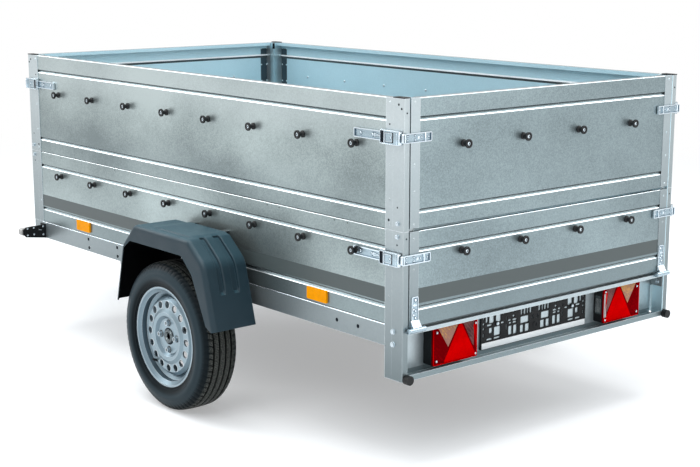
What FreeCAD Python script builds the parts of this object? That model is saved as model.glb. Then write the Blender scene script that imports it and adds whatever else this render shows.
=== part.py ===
import FreeCAD, Part
import math
import os

Vector = FreeCAD.Vector

# Single-axle box trailer with raised sides, in millimetres.
# +X points forward to the coupling, +Y to the left, +Z up. The origin is on the ground
# under the middle of the whole trailer. Pieces on the left are mirrored to the right.

# Overall
ground_clearance = 308.0        # underside of the rear beam and rear posts
body_length = 2360.0            # over the rear and front faces of the posts
body_width = 1312.0             # over the side faces of the posts
coupling_reach = 971.0          # front face of the body to the tip of the coupling
buffer_length = 21.0            # rubber buffers behind the rear posts
buffer_radius = 15.0
buffer_height = 8.0             # above the underside of the rear beam
buffer_inset = 17.0

# Sheet and section thicknesses
sheet = 1.5
rail_wall = 2.5
post_wall = 2.0
seat_gap = 0.3                  # between pieces that seat on each other

# Heights of the body
rear_beam_height = 160.0
rail_height = 70.0
rail_bottom_height = 103.0      # rail above the underside of the rear beam
lower_panel_height = 301.0
upper_panel_height = 405.0
seam_gap = 0.6

# Panels
tray_depth = 25.0               # folded top and bottom edges of every panel
rim_lip = 14.0                  # edge folded down inside the rim
groove_depth = 6.0
groove_low = 9.0                # lower flank of a pressed groove
groove_high = 5.0               # upper flank of a pressed groove
upper_grooves = (58.0, 341.0)   # above the bottom edge of an upper panel
lower_grooves = (60.0, 244.0)   # above the bottom edge of a lower panel
fold_radius = 3.0

# Corner posts
post_length = 49.0              # along the side
post_depth = 50.0               # towards the middle
post_outer = 25.0               # full-depth part that shows beside a gate
post_flange = 32.5              # laps over the side panel
post_step = 10.0                # recess that the gate ends lie in
post_corner = 4.0
post_edge = 3.0
cap_thickness = 3.0
cap_overhang = 1.0
cap_corner = 2.0

# Gates
gate_side_gap = 3.0
gate_strip = 41.0               # end strips riveted over the gate
gate_seam = 5.4                 # between the lower and the upper gate
gate_sill = 10.0                # between the rear beam and the lower gate
pin_offset = 5.0                # pivot of an upper gate from its sheet and bottom edge
pin_radius = 2.0
pin_reach = 12.0                # pin inside the post
pin_clearance = 0.1

# Lower tailgate hinges
hinge_axis_back = 12.0          # behind the rear face
hinge_axis_height = 163.0       # above the underside of the rear beam
hinge_barrel_radius = 8.5
hinge_pin_radius = 4.0
hinge_start = 15.0
hinge_end = 96.0
hinge_strap_start = 36.0
hinge_strap_end = 64.0
hinge_strap_height = 105.0
hinge_plate = 3.0
hinge_leaf_height = 14.0
hinge_gap = 1.0

# Rear beam
beam_depth = 60.0
beam_wall = 2.0
beam_lip_low = 18.0
beam_lip_high = 12.0

# Floor and cross members
floor_thickness = 9.0
floor_end_clearance = 36.0
cross_count = 3
cross_height = 40.0
cross_width = 50.0
rail_flange = 40.0

# Rail holes for accessories
accessory_holes = (211.0, 316.0)
accessory_height = 35.0
accessory_radius = 5.5

# Drawbar
arm_width = 50.0
arm_height = 60.0
arm_wall = 3.0
arm_start = 1690.0              # from the rear face
arm_start_inset = 56.0          # arm centre from the side face
arm_bend = 550.0                # bend behind the arm tips
arm_bend_spread = 80.0
arm_join = 230.0                # arms run side by side ahead of this
arm_tip_back = 185.0            # arm tips behind the coupling tip
arm_spacing = 0.6
saddle_ear = 14.0
saddle_length = 56.0
saddle_plate = 4.0
rail_plate_reach = 130.0
rail_plate_ahead = 95.0

# Coupling
ball_rise = 19.3                # centre of the ball above the drawbar arms
ball_back = 60.0
socket_radius = 25.25
socket_wall = 6.0
coupling_saddle = 150.0
coupling_saddle_over = 10.0
coupling_plate = 6.0
coupling_neck_set = 20.0
neck_wide = 32.0
neck_slim = 24.0
neck_rise = 34.0                # above the centre of the ball
tip_half_width = 14.0
tip_lift = 13.0
tip_rise = 12.0
tip_corner = 10.0
handle_front = 25.0             # behind the centre of the ball
handle_foot = 70.0
handle_nose = 12.0
handle_tail = 62.0
handle_rise = 46.0
handle_thick = 14.0
handle_half_width = 13.0
handle_radii = (3.0, 3.0, 6.0, 4.0, 4.0, 6.0)

# Axle and suspension arms
axle_position = 1037.0          # wheel centre from the rear face
wheel_radius = 269.0
arm_length = 160.0
arm_angle = 25.0
axle_flats = 70.0
axle_end_inset = 16.0
axle_pad = 90.0
axle_web_top = 70.0
axle_web_low = 30.0
axle_web_under = 10.0
axle_web_inset = 2.0
bracket_web_inset = 24.0
bracket_plate = 6.0
swing_arm_width = 26.0
swing_arm_out = 34.0            # outer face of the arm from the side face
swing_boss_radius = 38.0
swing_eye_radius = 30.0
swing_blade_set = 2.0
spindle_radius = 17.0
spindle_clearance = 0.3
spindle_end_back = 8.0
collar_radius = 25.0
collar_length = 4.0

# Hubs
hub_clearance = 1.0
hub_barrel_radius = 34.0
hub_barrel_back = 45.0
hub_flange_radius = 58.0
hub_flange = 12.0
hub_cap_radius = 28.0
hub_cap_step = 3.0
hub_cap_rise = 4.5
hub_cap_wall = 6.0

# Wheels
wheel_centre_out = 133.0        # tyre centre outside the side face
tyre_width = 157.0
tyre_wall = 12.0
tread_wall = 12.0
sidewall_step = 20.0
bead_clearance = 0.6
tyre_shoulder = (               # below the tread, from the middle
    (52.0, 78.5),
    (36.0, 75.5),
    (19.0, 68.5),
    (8.0, 59.5),
    (2.5, 47.5),
    (0.0, 29.5),
)
rim_flange_radius = 181.0
rim_seat_radius = 165.0
rim_well_radius = 145.0
rim_width = 134.0               # over the flanges
rim_flange_width = 6.0
rim_bead_start = 10.0           # from the outer faces of the flanges
rim_bead_end = 30.0
rim_well_start = 42.0
rim_well_end = 50.0
rim_wall = 3.5
rim_offset = 42.0
disc_profile = (                # radius, outside the hub face
    (28.6, 0.0),
    (63.0, 0.0),
    (75.0, 10.0),
    (87.0, 12.5),
    (101.0, 5.0),
    (130.0, 3.0),
)
disc_edge = 4.0
disc_skirt = 20.0
rim_hole_count = 16
rim_hole_radius = 11.0
rim_hole_circle = 116.0
bolt_circle = 49.0
bolt_radius = 6.0
bolt_head_radius = 9.0
bolt_reach = 16.0
bolt_sunk = 4.0
bolt_count = 4

# Mudguards
guard_wall = 4.0
guard_gap = 45.0                # from the side panel to the guard's inner edge
guard_width = 176.0
guard_edge_radius = 16.0
guard_points = (
    (1328.0, 51.0),
    (1277.0, 262.0),
    (1195.0, 347.0),
    (849.0, 345.0),
    (757.0, 271.0),
    (698.0, 51.0),
)
guard_radii = (0.0, 30.0, 35.0, 30.0, 80.0, 0.0)
arch_points = (                 # opening in the guard's outer wall
    (1316.0, 30.0),
    (1266.0, 241.0),
    (1219.0, 285.0),
    (887.0, 285.0),
    (825.0, 228.0),
    (745.0, 62.0),
    (690.0, 44.0),
    (690.0, 30.0),
)
arch_radii = (0.0, 20.0, 14.0, 25.0, 60.0, 20.0, 0.0, 0.0)
guard_grooves = ((84.0, 113.0), (143.0, 166.0))  # pressed grooves, from the side face
guard_groove = 3.0
guard_groove_start = 858.0
guard_groove_low = 168.0
guard_bracket_places = (925.0, 1125.0)
guard_bar = 4.0
guard_bar_width = 30.0
guard_bar_reach = 60.0          # under the guard
guard_bar_set = 6.0

# Load hooks
hook_count = 8
hook_first = 219.0              # first hook from the rear face
hook_last = 251.0               # last hook from the front face
hook_reach = 27.0
hook_radius = 14.3
hook_neck = 7.5
hook_flange = 5.0
hook_flange_radius = 11.8
hook_head = 7.0
hook_taper = 3.0
upper_hook_height = 252.0       # above the bottom of an upper panel
lower_hook_height = 214.0       # above the bottom of a lower panel
gate_hooks = (135.0, 405.0)     # either side of the middle

# Toggle latches
latch_height = 30.0
latch_plate = 3.0
upper_latch_height = 286.0      # above the bottom of an upper panel
lower_latch_height = 214.0      # above the bottom of a lower panel
latch_rib = 2.5
latch_rib_rise = 7.0
latch_base_start = 82.0
latch_base_end = 224.0
latch_hook_clearance = 1.0
latch_lever_start = 4.0
latch_lever_end = 92.0
latch_lever_wall = 4.0
latch_lever_lift = 3.5
latch_pin_radius = 4.0
latch_pin_over = 2.0
latch_lever_depth = 16.0
latch_lever_height = 44.0
strap_end = 108.0
strap_wrap = 4.0
strap_lift = 2.0
strap_pad_inset = 3.5
strap_rib_rise = 6.5

# Lamps, reflectors and plate holder
lamp_width = 198.0
lamp_height = 138.0
lamp_face = 12.0
lamp_lens = 9.0
lamp_low = 20.0
lamp_centre = 413.0
lamp_corner = 8.0
triangle_side = 140.0
triangle_shift = 19.0           # towards the middle of the trailer
triangle_low = 6.0
triangle_rise = 2.0
holder_width = 520.0
holder_height = 116.0
holder_depth = 8.0
holder_low = 20.0
holder_border = 9.0
holder_bar = 8.0
holder_strip = 14.0
holder_columns = 10
holder_rows = 3
reflector_width = 102.0
reflector_height = 42.0
reflector_depth = 7.0
reflector_low = 10.0            # above the bottom of the lower panel
reflector_corner = 4.0
reflector_rear = 413.0          # centre from the rear face
reflector_front = 425.0         # centre from the front face
position_lamp_back = 92.0       # behind the front face
position_lamp_reach = 105.0
position_lamp_over = 7.0
position_lamp_width = 77.0
position_lamp_height = 36.0
position_lamp_depth = 26.0
position_plate = 3.0
position_plate_height = 60.0
position_plate_taper = 13.0
position_foot = 40.0

# Jockey wheel
jockey_ahead = 300.0            # ahead of the front face
jockey_tube_radius = 24.0
jockey_tube_wall = 2.3
jockey_leg_radius = 21.3
jockey_leg_wall = 3.0
jockey_tube_low = 400.0
jockey_tube_high = 700.0
jockey_leg_high = 512.0
jockey_wheel_radius = 100.0
jockey_wheel_width = 50.0
jockey_trail = 38.0
jockey_pin_radius = 6.0
jockey_hub_radius = 22.0
jockey_web_half = 12.0
jockey_felloe_radius = 72.0
jockey_tread_inset = 3.0
jockey_tread_edge = 4.0
jockey_foot = 8.0
jockey_cap_rise = 6.0
jockey_cap_over = 3.0
crank_reach = 120.0
crank_half_width = 10.0
crank_thickness = 6.0
crank_shaft_radius = 8.0
crank_grip_radius = 9.0
crank_grip_length = 78.0
clamp_over = 30.0
clamp_half = 40.0
clamp_plate = 6.0
clamp_height = 52.0
clamp_wall = 10.0
clamp_lug = 28.0
fork_wall = 5.0
fork_top = 222.0
fork_clearance = 3.0
fork_back = 34.0
fork_front = 30.0
fork_eye = 14.0

# Worked-out places
overall_length = buffer_length + body_length + coupling_reach
rear = buffer_length - overall_length / 2
front = rear + body_length
nose = front + coupling_reach
half = body_width / 2
base = ground_clearance
rail_low = base + rail_bottom_height
deck = rail_low + rail_height
seam = deck + lower_panel_height
top = seam + upper_panel_height
wheel_x = rear + axle_position
wheel_y = half + wheel_centre_out
tube_x = wheel_x + arm_length * math.cos(math.radians(arm_angle))
tube_z = wheel_radius + arm_length * math.sin(math.radians(arm_angle))
hinge_x = rear - hinge_axis_back
hinge_z = base + hinge_axis_height
gate_low = base + rear_beam_height + gate_sill
lower_gate_top = seam - gate_seam / 2
upper_gate_low = seam + gate_seam / 2
pivot_x = rear + sheet + pin_offset
pivot_z = upper_gate_low + pin_offset
jockey_x = front + jockey_ahead
ball_x = nose - ball_back
ball_height = rail_low - seat_gap + ball_rise
socket_depth = ball_rise - seat_gap
hook_pitch = (body_length - hook_first - hook_last) / (hook_count - 1)


def block(x0, x1, y0, y1, z0, z1):
    return Part.makeBox(x1 - x0, y1 - y0, z1 - z0, Vector(x0, y0, z0))


def rod(start, end, radius):
    along = end.sub(start)
    return Part.makeCylinder(radius, along.Length, start, along)


def tube(start, end, outer, inner):
    return rod(start, end, outer).cut(rod(start, end, inner))


def rounded_wire(points, radii):
    """Closed wire through the points, with an arc of the given radius at each corner."""
    count = len(points)
    edges = []
    starts = []
    ends = []
    middles = []
    for index, (point, radius) in enumerate(zip(points, radii)):
        before = points[index - 1].sub(point)
        after = points[(index + 1) % count].sub(point)
        if radius <= 0:
            starts.append(point)
            ends.append(point)
            middles.append(None)
            continue
        before.normalize()
        after.normalize()
        half_angle = before.getAngle(after) / 2
        reach = radius / math.tan(half_angle)
        start = point.add(before * reach)
        end = point.add(after * reach)
        inward = before.add(after)
        inward.normalize()
        centre = point.add(inward * (radius / math.sin(half_angle)))
        starts.append(start)
        ends.append(end)
        middles.append(centre.sub(inward * radius))
    for index in range(count):
        if middles[index] is not None:
            edges.append(Part.Arc(starts[index], middles[index], ends[index]).toShape())
        following = starts[(index + 1) % count]
        if ends[index].distanceToPoint(following) > 1e-6:
            edges.append(Part.LineSegment(ends[index], following).toShape())
    return Part.Wire(Part.__sortEdges__(edges))


def prism(points, axis, low, high, radii=None):
    """Solid from a flat outline: (x, z) along y, (y, z) along x or (x, y) along z."""
    radii = radii or [0.0] * len(points)
    if axis == "y":
        corners = [Vector(a, low, b) for a, b in points]
        along = Vector(0, high - low, 0)
    elif axis == "x":
        corners = [Vector(low, a, b) for a, b in points]
        along = Vector(high - low, 0, 0)
    else:
        corners = [Vector(a, b, low) for a, b in points]
        along = Vector(0, 0, high - low)
    return Part.Face(rounded_wire(corners, radii)).extrude(along)


def spun(points, centre, radii=None):
    """Solid of revolution about a line along y. Points are (radius, y)."""
    radii = radii or [0.0] * len(points)
    corners = [Vector(centre.x + r, y, centre.z) for r, y in points]
    face = Part.Face(rounded_wire(corners, radii))
    return face.revolve(centre, Vector(0, 1, 0), 360)


def joined(shapes):
    first = shapes[0]
    return first.fuse(shapes[1:]).removeSplitter()


def mirrored(shape):
    return shape.mirror(Vector(0, 0, 0), Vector(0, 1, 0))


def both_sides(*shapes):
    solids = []
    for shape in shapes:
        solids.append(shape)
        solids.append(mirrored(shape))
    return Part.makeCompound(solids)


def tray_outline(height, grooves, top_lip, bottom_lip, corner=fold_radius):
    """Section of a folded sheet panel: (inward, up) points from its outer bottom corner."""
    thin = sheet * 0.6
    outer = [(0.0, 0.0)]
    inner = [(sheet, sheet)]
    for place in grooves:
        outer += [(0.0, place - groove_low), (groove_depth, place), (0.0, place + groove_high)]
        inner += [
            (sheet, place - groove_low - thin),
            (groove_depth + sheet, place),
            (sheet, place + groove_high + thin),
        ]
    outer.append((0.0, height))
    inner.append((sheet, height - sheet))
    outline = outer + [(tray_depth, height)]
    outline += [(tray_depth, height - top_lip), (tray_depth - sheet, height - top_lip)]
    outline.append((tray_depth - sheet, height - sheet))
    outline += inner[::-1]
    outline += [(tray_depth - sheet, sheet), (tray_depth - sheet, bottom_lip)]
    outline += [(tray_depth, bottom_lip), (tray_depth, 0.0)]
    radii = [0.0] * len(outline)
    radii[0] = corner
    radii[len(outer) - 1] = fold_radius
    radii[len(outer) + 4] = fold_radius - sheet
    radii[len(outer) + 3 + len(inner)] = corner - sheet
    return outline, radii


def side_panel(low, high, grooves):
    outline, radii = tray_outline(high - low, grooves, rim_lip, rim_lip)
    points = [(half - sheet - inward, low + up) for inward, up in outline]
    start = rear + post_length + seat_gap
    end = front - post_length - seat_gap
    return prism(points, "x", start, end, radii)


def gate_tray(low, high, grooves, corner=fold_radius):
    """Gate as seen at the rear: a folded tray between the posts and flat ends over them."""
    outline, radii = tray_outline(high - low, grooves, rim_lip, rim_lip, corner)
    points = [(rear + sheet + inward, low + up) for inward, up in outline]
    inside = half - post_depth - gate_side_gap
    tray = prism(points, "y", -inside, inside, radii)
    return tray, inside


def gate_end(low, high, inside, strip_low, corner):
    """Left end: return fold, flat skin and the riveted strip that lies over it."""
    outside = half - post_outer - gate_side_gap
    deep = rear + sheet + tray_depth
    fold = prism([(rear + sheet, low), (deep, low), (deep, high), (rear + sheet, high)], "y",
                 inside - sheet, inside, [corner, 0.0, 0.0, fold_radius])
    skin = block(rear + sheet, rear + 2 * sheet, inside, outside, strip_low, high)
    strip_start = outside - gate_strip + gate_side_gap
    strip = block(rear, rear + sheet, strip_start, outside, strip_low, high)
    return [fold, skin, strip]


def upper_gate():
    tray, inside = gate_tray(upper_gate_low, top, upper_grooves, pin_offset)
    ends = gate_end(upper_gate_low, top, inside, pivot_z, pin_offset)
    pin = rod(Vector(pivot_x, inside - sheet, pivot_z),
              Vector(pivot_x, half - post_outer + pin_reach, pivot_z), pin_radius)
    left = joined(ends + [pin])
    return joined([tray, left, mirrored(left)])


def lower_gate():
    tray, inside = gate_tray(gate_low, lower_gate_top, lower_grooves)
    left = joined(gate_end(gate_low, lower_gate_top, inside, gate_low, fold_radius))
    return joined([tray, left, mirrored(left)])


def front_lower_panel():
    tray, inside = gate_tray(deck, lower_gate_top, lower_grooves)
    left = joined(gate_end(deck, lower_gate_top, inside, deck, fold_radius))
    return turned_to_front(joined([tray, left, mirrored(left)]))


def turned_to_front(shape):
    """Mirror image about the middle of the body, from the rear end to the front end."""
    return shape.mirror(Vector((rear + front) / 2, 0, 0), Vector(1, 0, 0))


def post(low, high, step_low):
    """Rear left post: a closed section with a flange over the side panel.

    Its inner half, which starts at step_low, is set back so that the gate ends lie in it.
    """
    outer_radii = [post_corner, 0.0, 0.0, post_edge]
    outer = prism(
        [(rear, half), (rear + post_length, half), (rear + post_length, half - post_outer),
         (rear, half - post_outer)],
        "z", low, high, outer_radii)
    inner_part = block(rear + post_step, rear + post_length, half - post_depth,
                       half - post_outer, step_low, high)
    flange = block(rear + post_length, rear + post_length + post_flange,
                   half - sheet + seat_gap / 2, half, low, high)
    void_outer = block(rear + post_wall, rear + post_length - post_wall,
                       half - post_outer + post_wall, half - post_wall, low, high)
    void_inner = block(rear + post_step + post_wall, rear + post_length - post_wall,
                       half - post_depth + post_wall, half - post_outer + 2 * post_wall,
                       step_low, high)
    return joined([outer, inner_part, flange]).cut(void_outer).cut(void_inner)


def pin_hole():
    start = Vector(pivot_x, half - post_outer - post_wall, pivot_z)
    end = Vector(pivot_x, half - post_outer + 2 * post_wall, pivot_z)
    return rod(start, end, pin_radius + pin_clearance)


def lower_posts():
    rear_post = post(base, seam - seam_gap / 2, base + rear_beam_height + seat_gap)
    front_post = turned_to_front(post(deck, seam - seam_gap / 2, deck))
    return both_sides(rear_post, front_post)


def upper_posts():
    rear_post = post(seam + seam_gap / 2, top, seam).cut(pin_hole())
    return both_sides(rear_post, turned_to_front(rear_post))


def post_caps():
    over = cap_overhang
    cap = prism(
        [(rear - over, half + over), (rear + post_length + over, half + over),
         (rear + post_length + over, half - post_outer), (rear - over, half - post_outer)],
        "z", top + seat_gap / 3, top + cap_thickness,
        [post_corner, cap_corner, cap_corner, cap_corner])
    return both_sides(cap, turned_to_front(cap))


def hook(foot, out):
    """Spool-shaped load hook standing on foot and pointing along out."""
    shank = rod(foot + out * seat_gap, foot + out * hook_reach, hook_neck)
    head = rod(foot + out * (hook_reach - hook_head), foot + out * hook_reach, hook_radius)
    flange = rod(foot + out * seat_gap, foot + out * hook_flange, hook_flange_radius)
    taper = Part.makeCone(hook_flange_radius, hook_neck, hook_taper, foot + out * hook_flange, out)
    return joined([shank, head, flange, taper])


def side_hooks():
    hooks = []
    rows = (seam + upper_hook_height, deck + lower_hook_height)
    for height in rows:
        for index in range(hook_count):
            place = Vector(rear + hook_first + hook_pitch * index, half - sheet, height)
            hooks.append(hook(place, Vector(0, 1, 0)))
    return both_sides(*hooks)


def gate_hook_row(height):
    hooks = []
    for side in (-1, 1):
        for place in gate_hooks:
            foot = Vector(rear + sheet, side * place, height)
            hooks.append(hook(foot, Vector(-1, 0, 0)))
    return Part.makeCompound(hooks)


def latch_base(middle):
    """Toggle latch on the left side by the rear post: base strip, ribs and lever."""
    low = middle - latch_height / 2
    high = middle + latch_height / 2
    foot = half + seat_gap
    start = rear + latch_base_start
    end = rear + latch_base_end
    pieces = [block(start, end, foot, foot + latch_plate, low, high)]
    for edge in (low, high - latch_rib):
        pieces.append(block(start, end, foot, foot + latch_rib_rise, edge, edge + latch_rib))
    base_plate = joined(pieces)
    hook_hole = rod(Vector(rear + hook_first, half, middle),
                    Vector(rear + hook_first, foot + 2 * latch_rib_rise, middle),
                    hook_flange_radius + latch_hook_clearance)
    half_lever = latch_lever_height / 2
    lever = block(rear + latch_lever_start, rear + latch_lever_end, foot + latch_lever_lift,
                  foot + latch_lever_depth, middle - half_lever, middle + half_lever)
    hollow = block(rear + latch_lever_start + latch_lever_wall,
                   rear + latch_lever_end - 3 * latch_lever_wall,
                   foot + latch_lever_depth / 2, foot + latch_lever_depth + 1.0,
                   middle - half_lever + latch_lever_wall, middle + half_lever - latch_lever_wall)
    pin_x = rear + latch_lever_end - latch_pin_radius
    pin_y = foot + latch_lever_depth / 2
    pin_reach = half_lever + latch_pin_over
    pivot = rod(Vector(pin_x, pin_y, middle - pin_reach), Vector(pin_x, pin_y, middle + pin_reach),
                latch_pin_radius)
    return joined([base_plate.cut(hook_hole), lever.cut(hollow), pivot])


def latch_bases():
    upper = latch_base(seam + upper_latch_height)
    lower = latch_base(deck + lower_latch_height)
    return both_sides(upper, lower, turned_to_front(upper))


def latch_straps(middle):
    """Straps on a rear gate that reach across the post to the levers."""
    low = middle - latch_height / 2
    high = middle + latch_height / 2
    outside = half + strap_wrap
    inside = half - strap_end
    face = rear - strap_lift
    plate = block(face - latch_plate, face, inside, outside, low, high)
    pad = block(face, rear - seat_gap, inside + strap_pad_inset,
                half - post_outer - gate_side_gap - strap_pad_inset,
                low + strap_pad_inset, high - strap_pad_inset)
    pieces = [plate, pad]
    for edge in (low, high - latch_rib):
        pieces.append(block(face - strap_rib_rise, face, inside, outside, edge, edge + latch_rib))
    return both_sides(joined(pieces))


def lower_hinges():
    """Moving leaves: knuckle and strap, riveted to the lower gate's end strips."""
    inner = half - hinge_strap_end
    outer = half - hinge_strap_start
    knuckle = rod(Vector(hinge_x, inner, hinge_z), Vector(hinge_x, outer, hinge_z),
                  hinge_barrel_radius)
    strap = block(rear - hinge_plate - seat_gap, rear - seat_gap, inner, outer,
                  hinge_z + hinge_barrel_radius / 2, hinge_z + hinge_strap_height)
    link = block(hinge_x, rear - seat_gap, inner, outer, hinge_z + hinge_barrel_radius / 2,
                 hinge_z + hinge_barrel_radius)
    bore = rod(Vector(hinge_x, inner, hinge_z), Vector(hinge_x, outer, hinge_z),
               hinge_pin_radius + pin_clearance)
    return both_sides(joined([knuckle, strap, link]).cut(bore))


def hinge_brackets():
    """Fixed leaves on the rear post and beam, with the hinge pin."""
    post_side = half - hinge_start
    beam_side = half - hinge_end
    pieces = [rod(Vector(hinge_x, beam_side, hinge_z), Vector(hinge_x, post_side, hinge_z),
                  hinge_pin_radius)]
    spans = (
        (half - hinge_strap_start + hinge_gap, post_side),
        (beam_side, half - hinge_strap_end - hinge_gap),
    )
    high = hinge_z - hinge_plate
    for start, end in spans:
        pieces.append(rod(Vector(hinge_x, start, hinge_z), Vector(hinge_x, end, hinge_z),
                          hinge_barrel_radius))
        pieces.append(block(rear - hinge_plate - seat_gap, rear - seat_gap, start, end,
                            hinge_z - hinge_leaf_height, high))
        pieces.append(block(hinge_x, rear - seat_gap, start, end, hinge_z - hinge_barrel_radius,
                            high))
    return both_sides(joined(pieces))


def rear_beam():
    inside = half - post_outer - seat_gap
    high = base + rear_beam_height
    deep = rear + beam_depth
    points = [
        (rear, base), (deep, base), (deep, high), (rear, high),
        (rear, high - beam_lip_high), (rear + beam_wall, high - beam_lip_high),
        (rear + beam_wall, high - beam_wall), (deep - beam_wall, high - beam_wall),
        (deep - beam_wall, base + beam_wall), (rear + beam_wall, base + beam_wall),
        (rear + beam_wall, base + beam_lip_low), (rear, base + beam_lip_low),
    ]
    return prism(points, "y", -inside, inside)


def side_rail():
    outside = half - sheet
    start = rear + beam_depth + seat_gap
    end = front - sheet
    inside = outside - rail_flange
    points = [
        (outside, rail_low), (outside, deck - seat_gap), (inside, deck - seat_gap),
        (inside, deck - seat_gap - rail_wall), (outside - rail_wall, deck - seat_gap - rail_wall),
        (outside - rail_wall, rail_low + rail_wall), (inside, rail_low + rail_wall),
        (inside, rail_low),
    ]
    rail = prism(points, "x", start, end)
    for place in accessory_holes:
        height = rail_low + accessory_height
        rail = rail.cut(rod(Vector(rear + place, outside - 2 * rail_wall, height),
                            Vector(rear + place, outside + rail_wall, height),
                            accessory_radius))
    return rail


def cross_members():
    """Front channel and hat sections that carry the floor between the side rails."""
    high = deck - seat_gap
    outside = front - sheet
    channel = [
        (outside, rail_low), (outside, high), (outside - rail_flange, high),
        (outside - rail_flange, high - rail_wall), (outside - rail_wall, high - rail_wall),
        (outside - rail_wall, rail_low + rail_wall),
        (outside - rail_flange, rail_low + rail_wall), (outside - rail_flange, rail_low),
    ]
    notch_y = half - sheet - rail_flange - seat_gap
    solids = [prism(channel, "y", -notch_y, notch_y)]
    pitch = body_length / (cross_count + 1)
    low = high - rail_wall - seat_gap - cross_height
    for index in range(cross_count):
        middle = rear + pitch * (index + 1)
        left = middle - cross_width / 2
        right = middle + cross_width / 2
        top_z = high
        points = [
            (left, low), (left, top_z), (right, top_z), (right, low),
            (right - rail_wall, low), (right - rail_wall, top_z - rail_wall),
            (left + rail_wall, top_z - rail_wall), (left + rail_wall, low),
        ]
        solids.append(prism(points, "y", -notch_y, notch_y))
    return Part.makeCompound(solids)


def floor_board():
    start = rear + floor_end_clearance
    end = front - sheet - tray_depth - seat_gap
    side = half - sheet - tray_depth - seat_gap
    board = block(start, end, -side, side, deck, deck + floor_thickness)
    corner_x = rear + post_length + seat_gap
    corner_y = half - post_depth - seat_gap
    for x0, x1 in ((start, corner_x), (front - post_length - seat_gap, end)):
        for sign in (-1, 1):
            low = min(sign * corner_y, sign * side)
            high = max(sign * corner_y, sign * side)
            board = board.cut(block(x0, x1, low, high, deck, deck + floor_thickness))
    return board


def arm_path():
    tip = nose - arm_tip_back
    line_y = arm_width / 2 + arm_spacing / 2
    return [
        (rear + arm_start, half - arm_start_inset),
        (tip - arm_bend, line_y + arm_bend_spread),
        (tip - arm_join, line_y),
        (tip, line_y),
    ]


def band(path, width):
    """Outline of a strip of even width along a flat path, mitred at its bends."""
    left = []
    right = []
    for index, (x, y) in enumerate(path):
        before = path[max(index - 1, 0)]
        after = path[min(index + 1, len(path) - 1)]
        first = Vector(x - before[0], y - before[1], 0)
        second = Vector(after[0] - x, after[1] - y, 0)
        if first.Length < 1e-9:
            first = second
        if second.Length < 1e-9:
            second = first
        first.normalize()
        second.normalize()
        mean = first.add(second)
        mean.normalize()
        reach = width / 2 / mean.dot(first)
        left.append((x - mean.y * reach, y + mean.x * reach))
        right.append((x + mean.y * reach, y - mean.x * reach))
    return left + right[::-1]


def drawbar_arm():
    high = rail_low - seat_gap
    low = high - arm_height
    path = arm_path()
    outer = prism(band(path, arm_width), "z", low, high)
    inner = prism(band(path, arm_width - 2 * arm_wall), "z", low + arm_wall, high - arm_wall)
    return outer.cut(inner)


def arm_y_at(x):
    path = arm_path()
    for (x0, y0), (x1, y1) in zip(path, path[1:]):
        if x0 <= x <= x1:
            return y0 + (y1 - y0) * (x - x0) / (x1 - x0)
    return path[-1][1]


def drawbar_brackets():
    """Saddles that bolt the arms under the front channel, and plates inside the side rails."""
    high = rail_low - seat_gap
    low = high - arm_height
    x1 = front - saddle_plate
    x0 = x1 - saddle_length
    along = [(x0, arm_y_at(x0)), (x1, arm_y_at(x1))]
    outer_width = arm_width + 2 * seat_gap + 2 * bracket_plate
    saddle = prism(band(along, outer_width), "z", low - seat_gap - bracket_plate, high)
    saddle = saddle.cut(prism(band(along, arm_width + 2 * seat_gap), "z", low - seat_gap,
                              high + 1.0))
    flange = prism(band(along, outer_width + 2 * saddle_ear), "z", high - saddle_plate, high)
    flange = flange.cut(prism(band(along, outer_width - 2.0), "z", high - saddle_plate - 1.0,
                              high + 1.0))
    rail_x = rear + arm_start + rail_plate_ahead
    rail_inside = half - sheet - rail_wall - seat_gap
    rail_plate = block(rail_x - rail_plate_reach, rail_x + rail_plate_reach,
                       rail_inside - bracket_plate, rail_inside,
                       rail_low + rail_wall + seat_gap, deck - rail_wall - 2 * seat_gap)
    return both_sides(joined([saddle, flange]), rail_plate)


def coupling_head():
    """Pressed-steel coupling: a saddle on the arm tips, a neck and the ball socket."""
    arms_top = rail_low - seat_gap
    shell_low = ball_height - socket_depth
    saddle_start = nose - arm_tip_back - coupling_saddle
    saddle_end = nose - arm_tip_back + coupling_saddle_over
    width = arm_width + arm_spacing / 2
    saddle = block(saddle_start, saddle_end, -width, width, arms_top + seat_gap,
                   arms_top + seat_gap + coupling_plate)
    neck_start = saddle_start + coupling_neck_set
    neck = prism(
        [(neck_start, -neck_wide), (ball_x, -neck_slim), (ball_x, neck_slim),
         (neck_start, neck_wide)],
        "z", shell_low, ball_height + neck_rise)
    shell_radius = socket_radius + socket_wall
    head = rod(Vector(ball_x, 0, shell_low), Vector(ball_x, 0, ball_height), shell_radius)
    dome = Part.makeSphere(shell_radius, Vector(ball_x, 0, ball_height))
    dome = dome.common(block(ball_x - shell_radius, ball_x + shell_radius, -shell_radius,
                             shell_radius, ball_height, ball_height + shell_radius))
    tip = prism([(ball_x, -neck_slim), (nose, -tip_half_width), (nose, tip_half_width),
                 (ball_x, neck_slim)], "z", shell_low + tip_lift, ball_height + tip_rise,
                [0.0, tip_corner, tip_corner, 0.0])
    body = joined([saddle, neck, head, dome, tip])
    socket = rod(Vector(ball_x, 0, shell_low - socket_radius), Vector(ball_x, 0, ball_height),
                 socket_radius)
    cavity = Part.makeSphere(socket_radius, Vector(ball_x, 0, ball_height))
    return body.cut(socket).cut(cavity).removeSplitter()


def coupling_handle():
    low = ball_height + neck_rise + seat_gap
    ahead = ball_x - handle_front
    back = ahead - handle_foot
    points = [
        (back, low), (ahead, low), (ahead + handle_nose, low + handle_nose),
        (back - handle_tail, low + handle_rise), (back - handle_tail, low + handle_rise - handle_thick),
        (back - handle_nose, low + handle_thick),
    ]
    return prism(points, "y", -handle_half_width, handle_half_width,
                 list(handle_radii))


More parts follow.
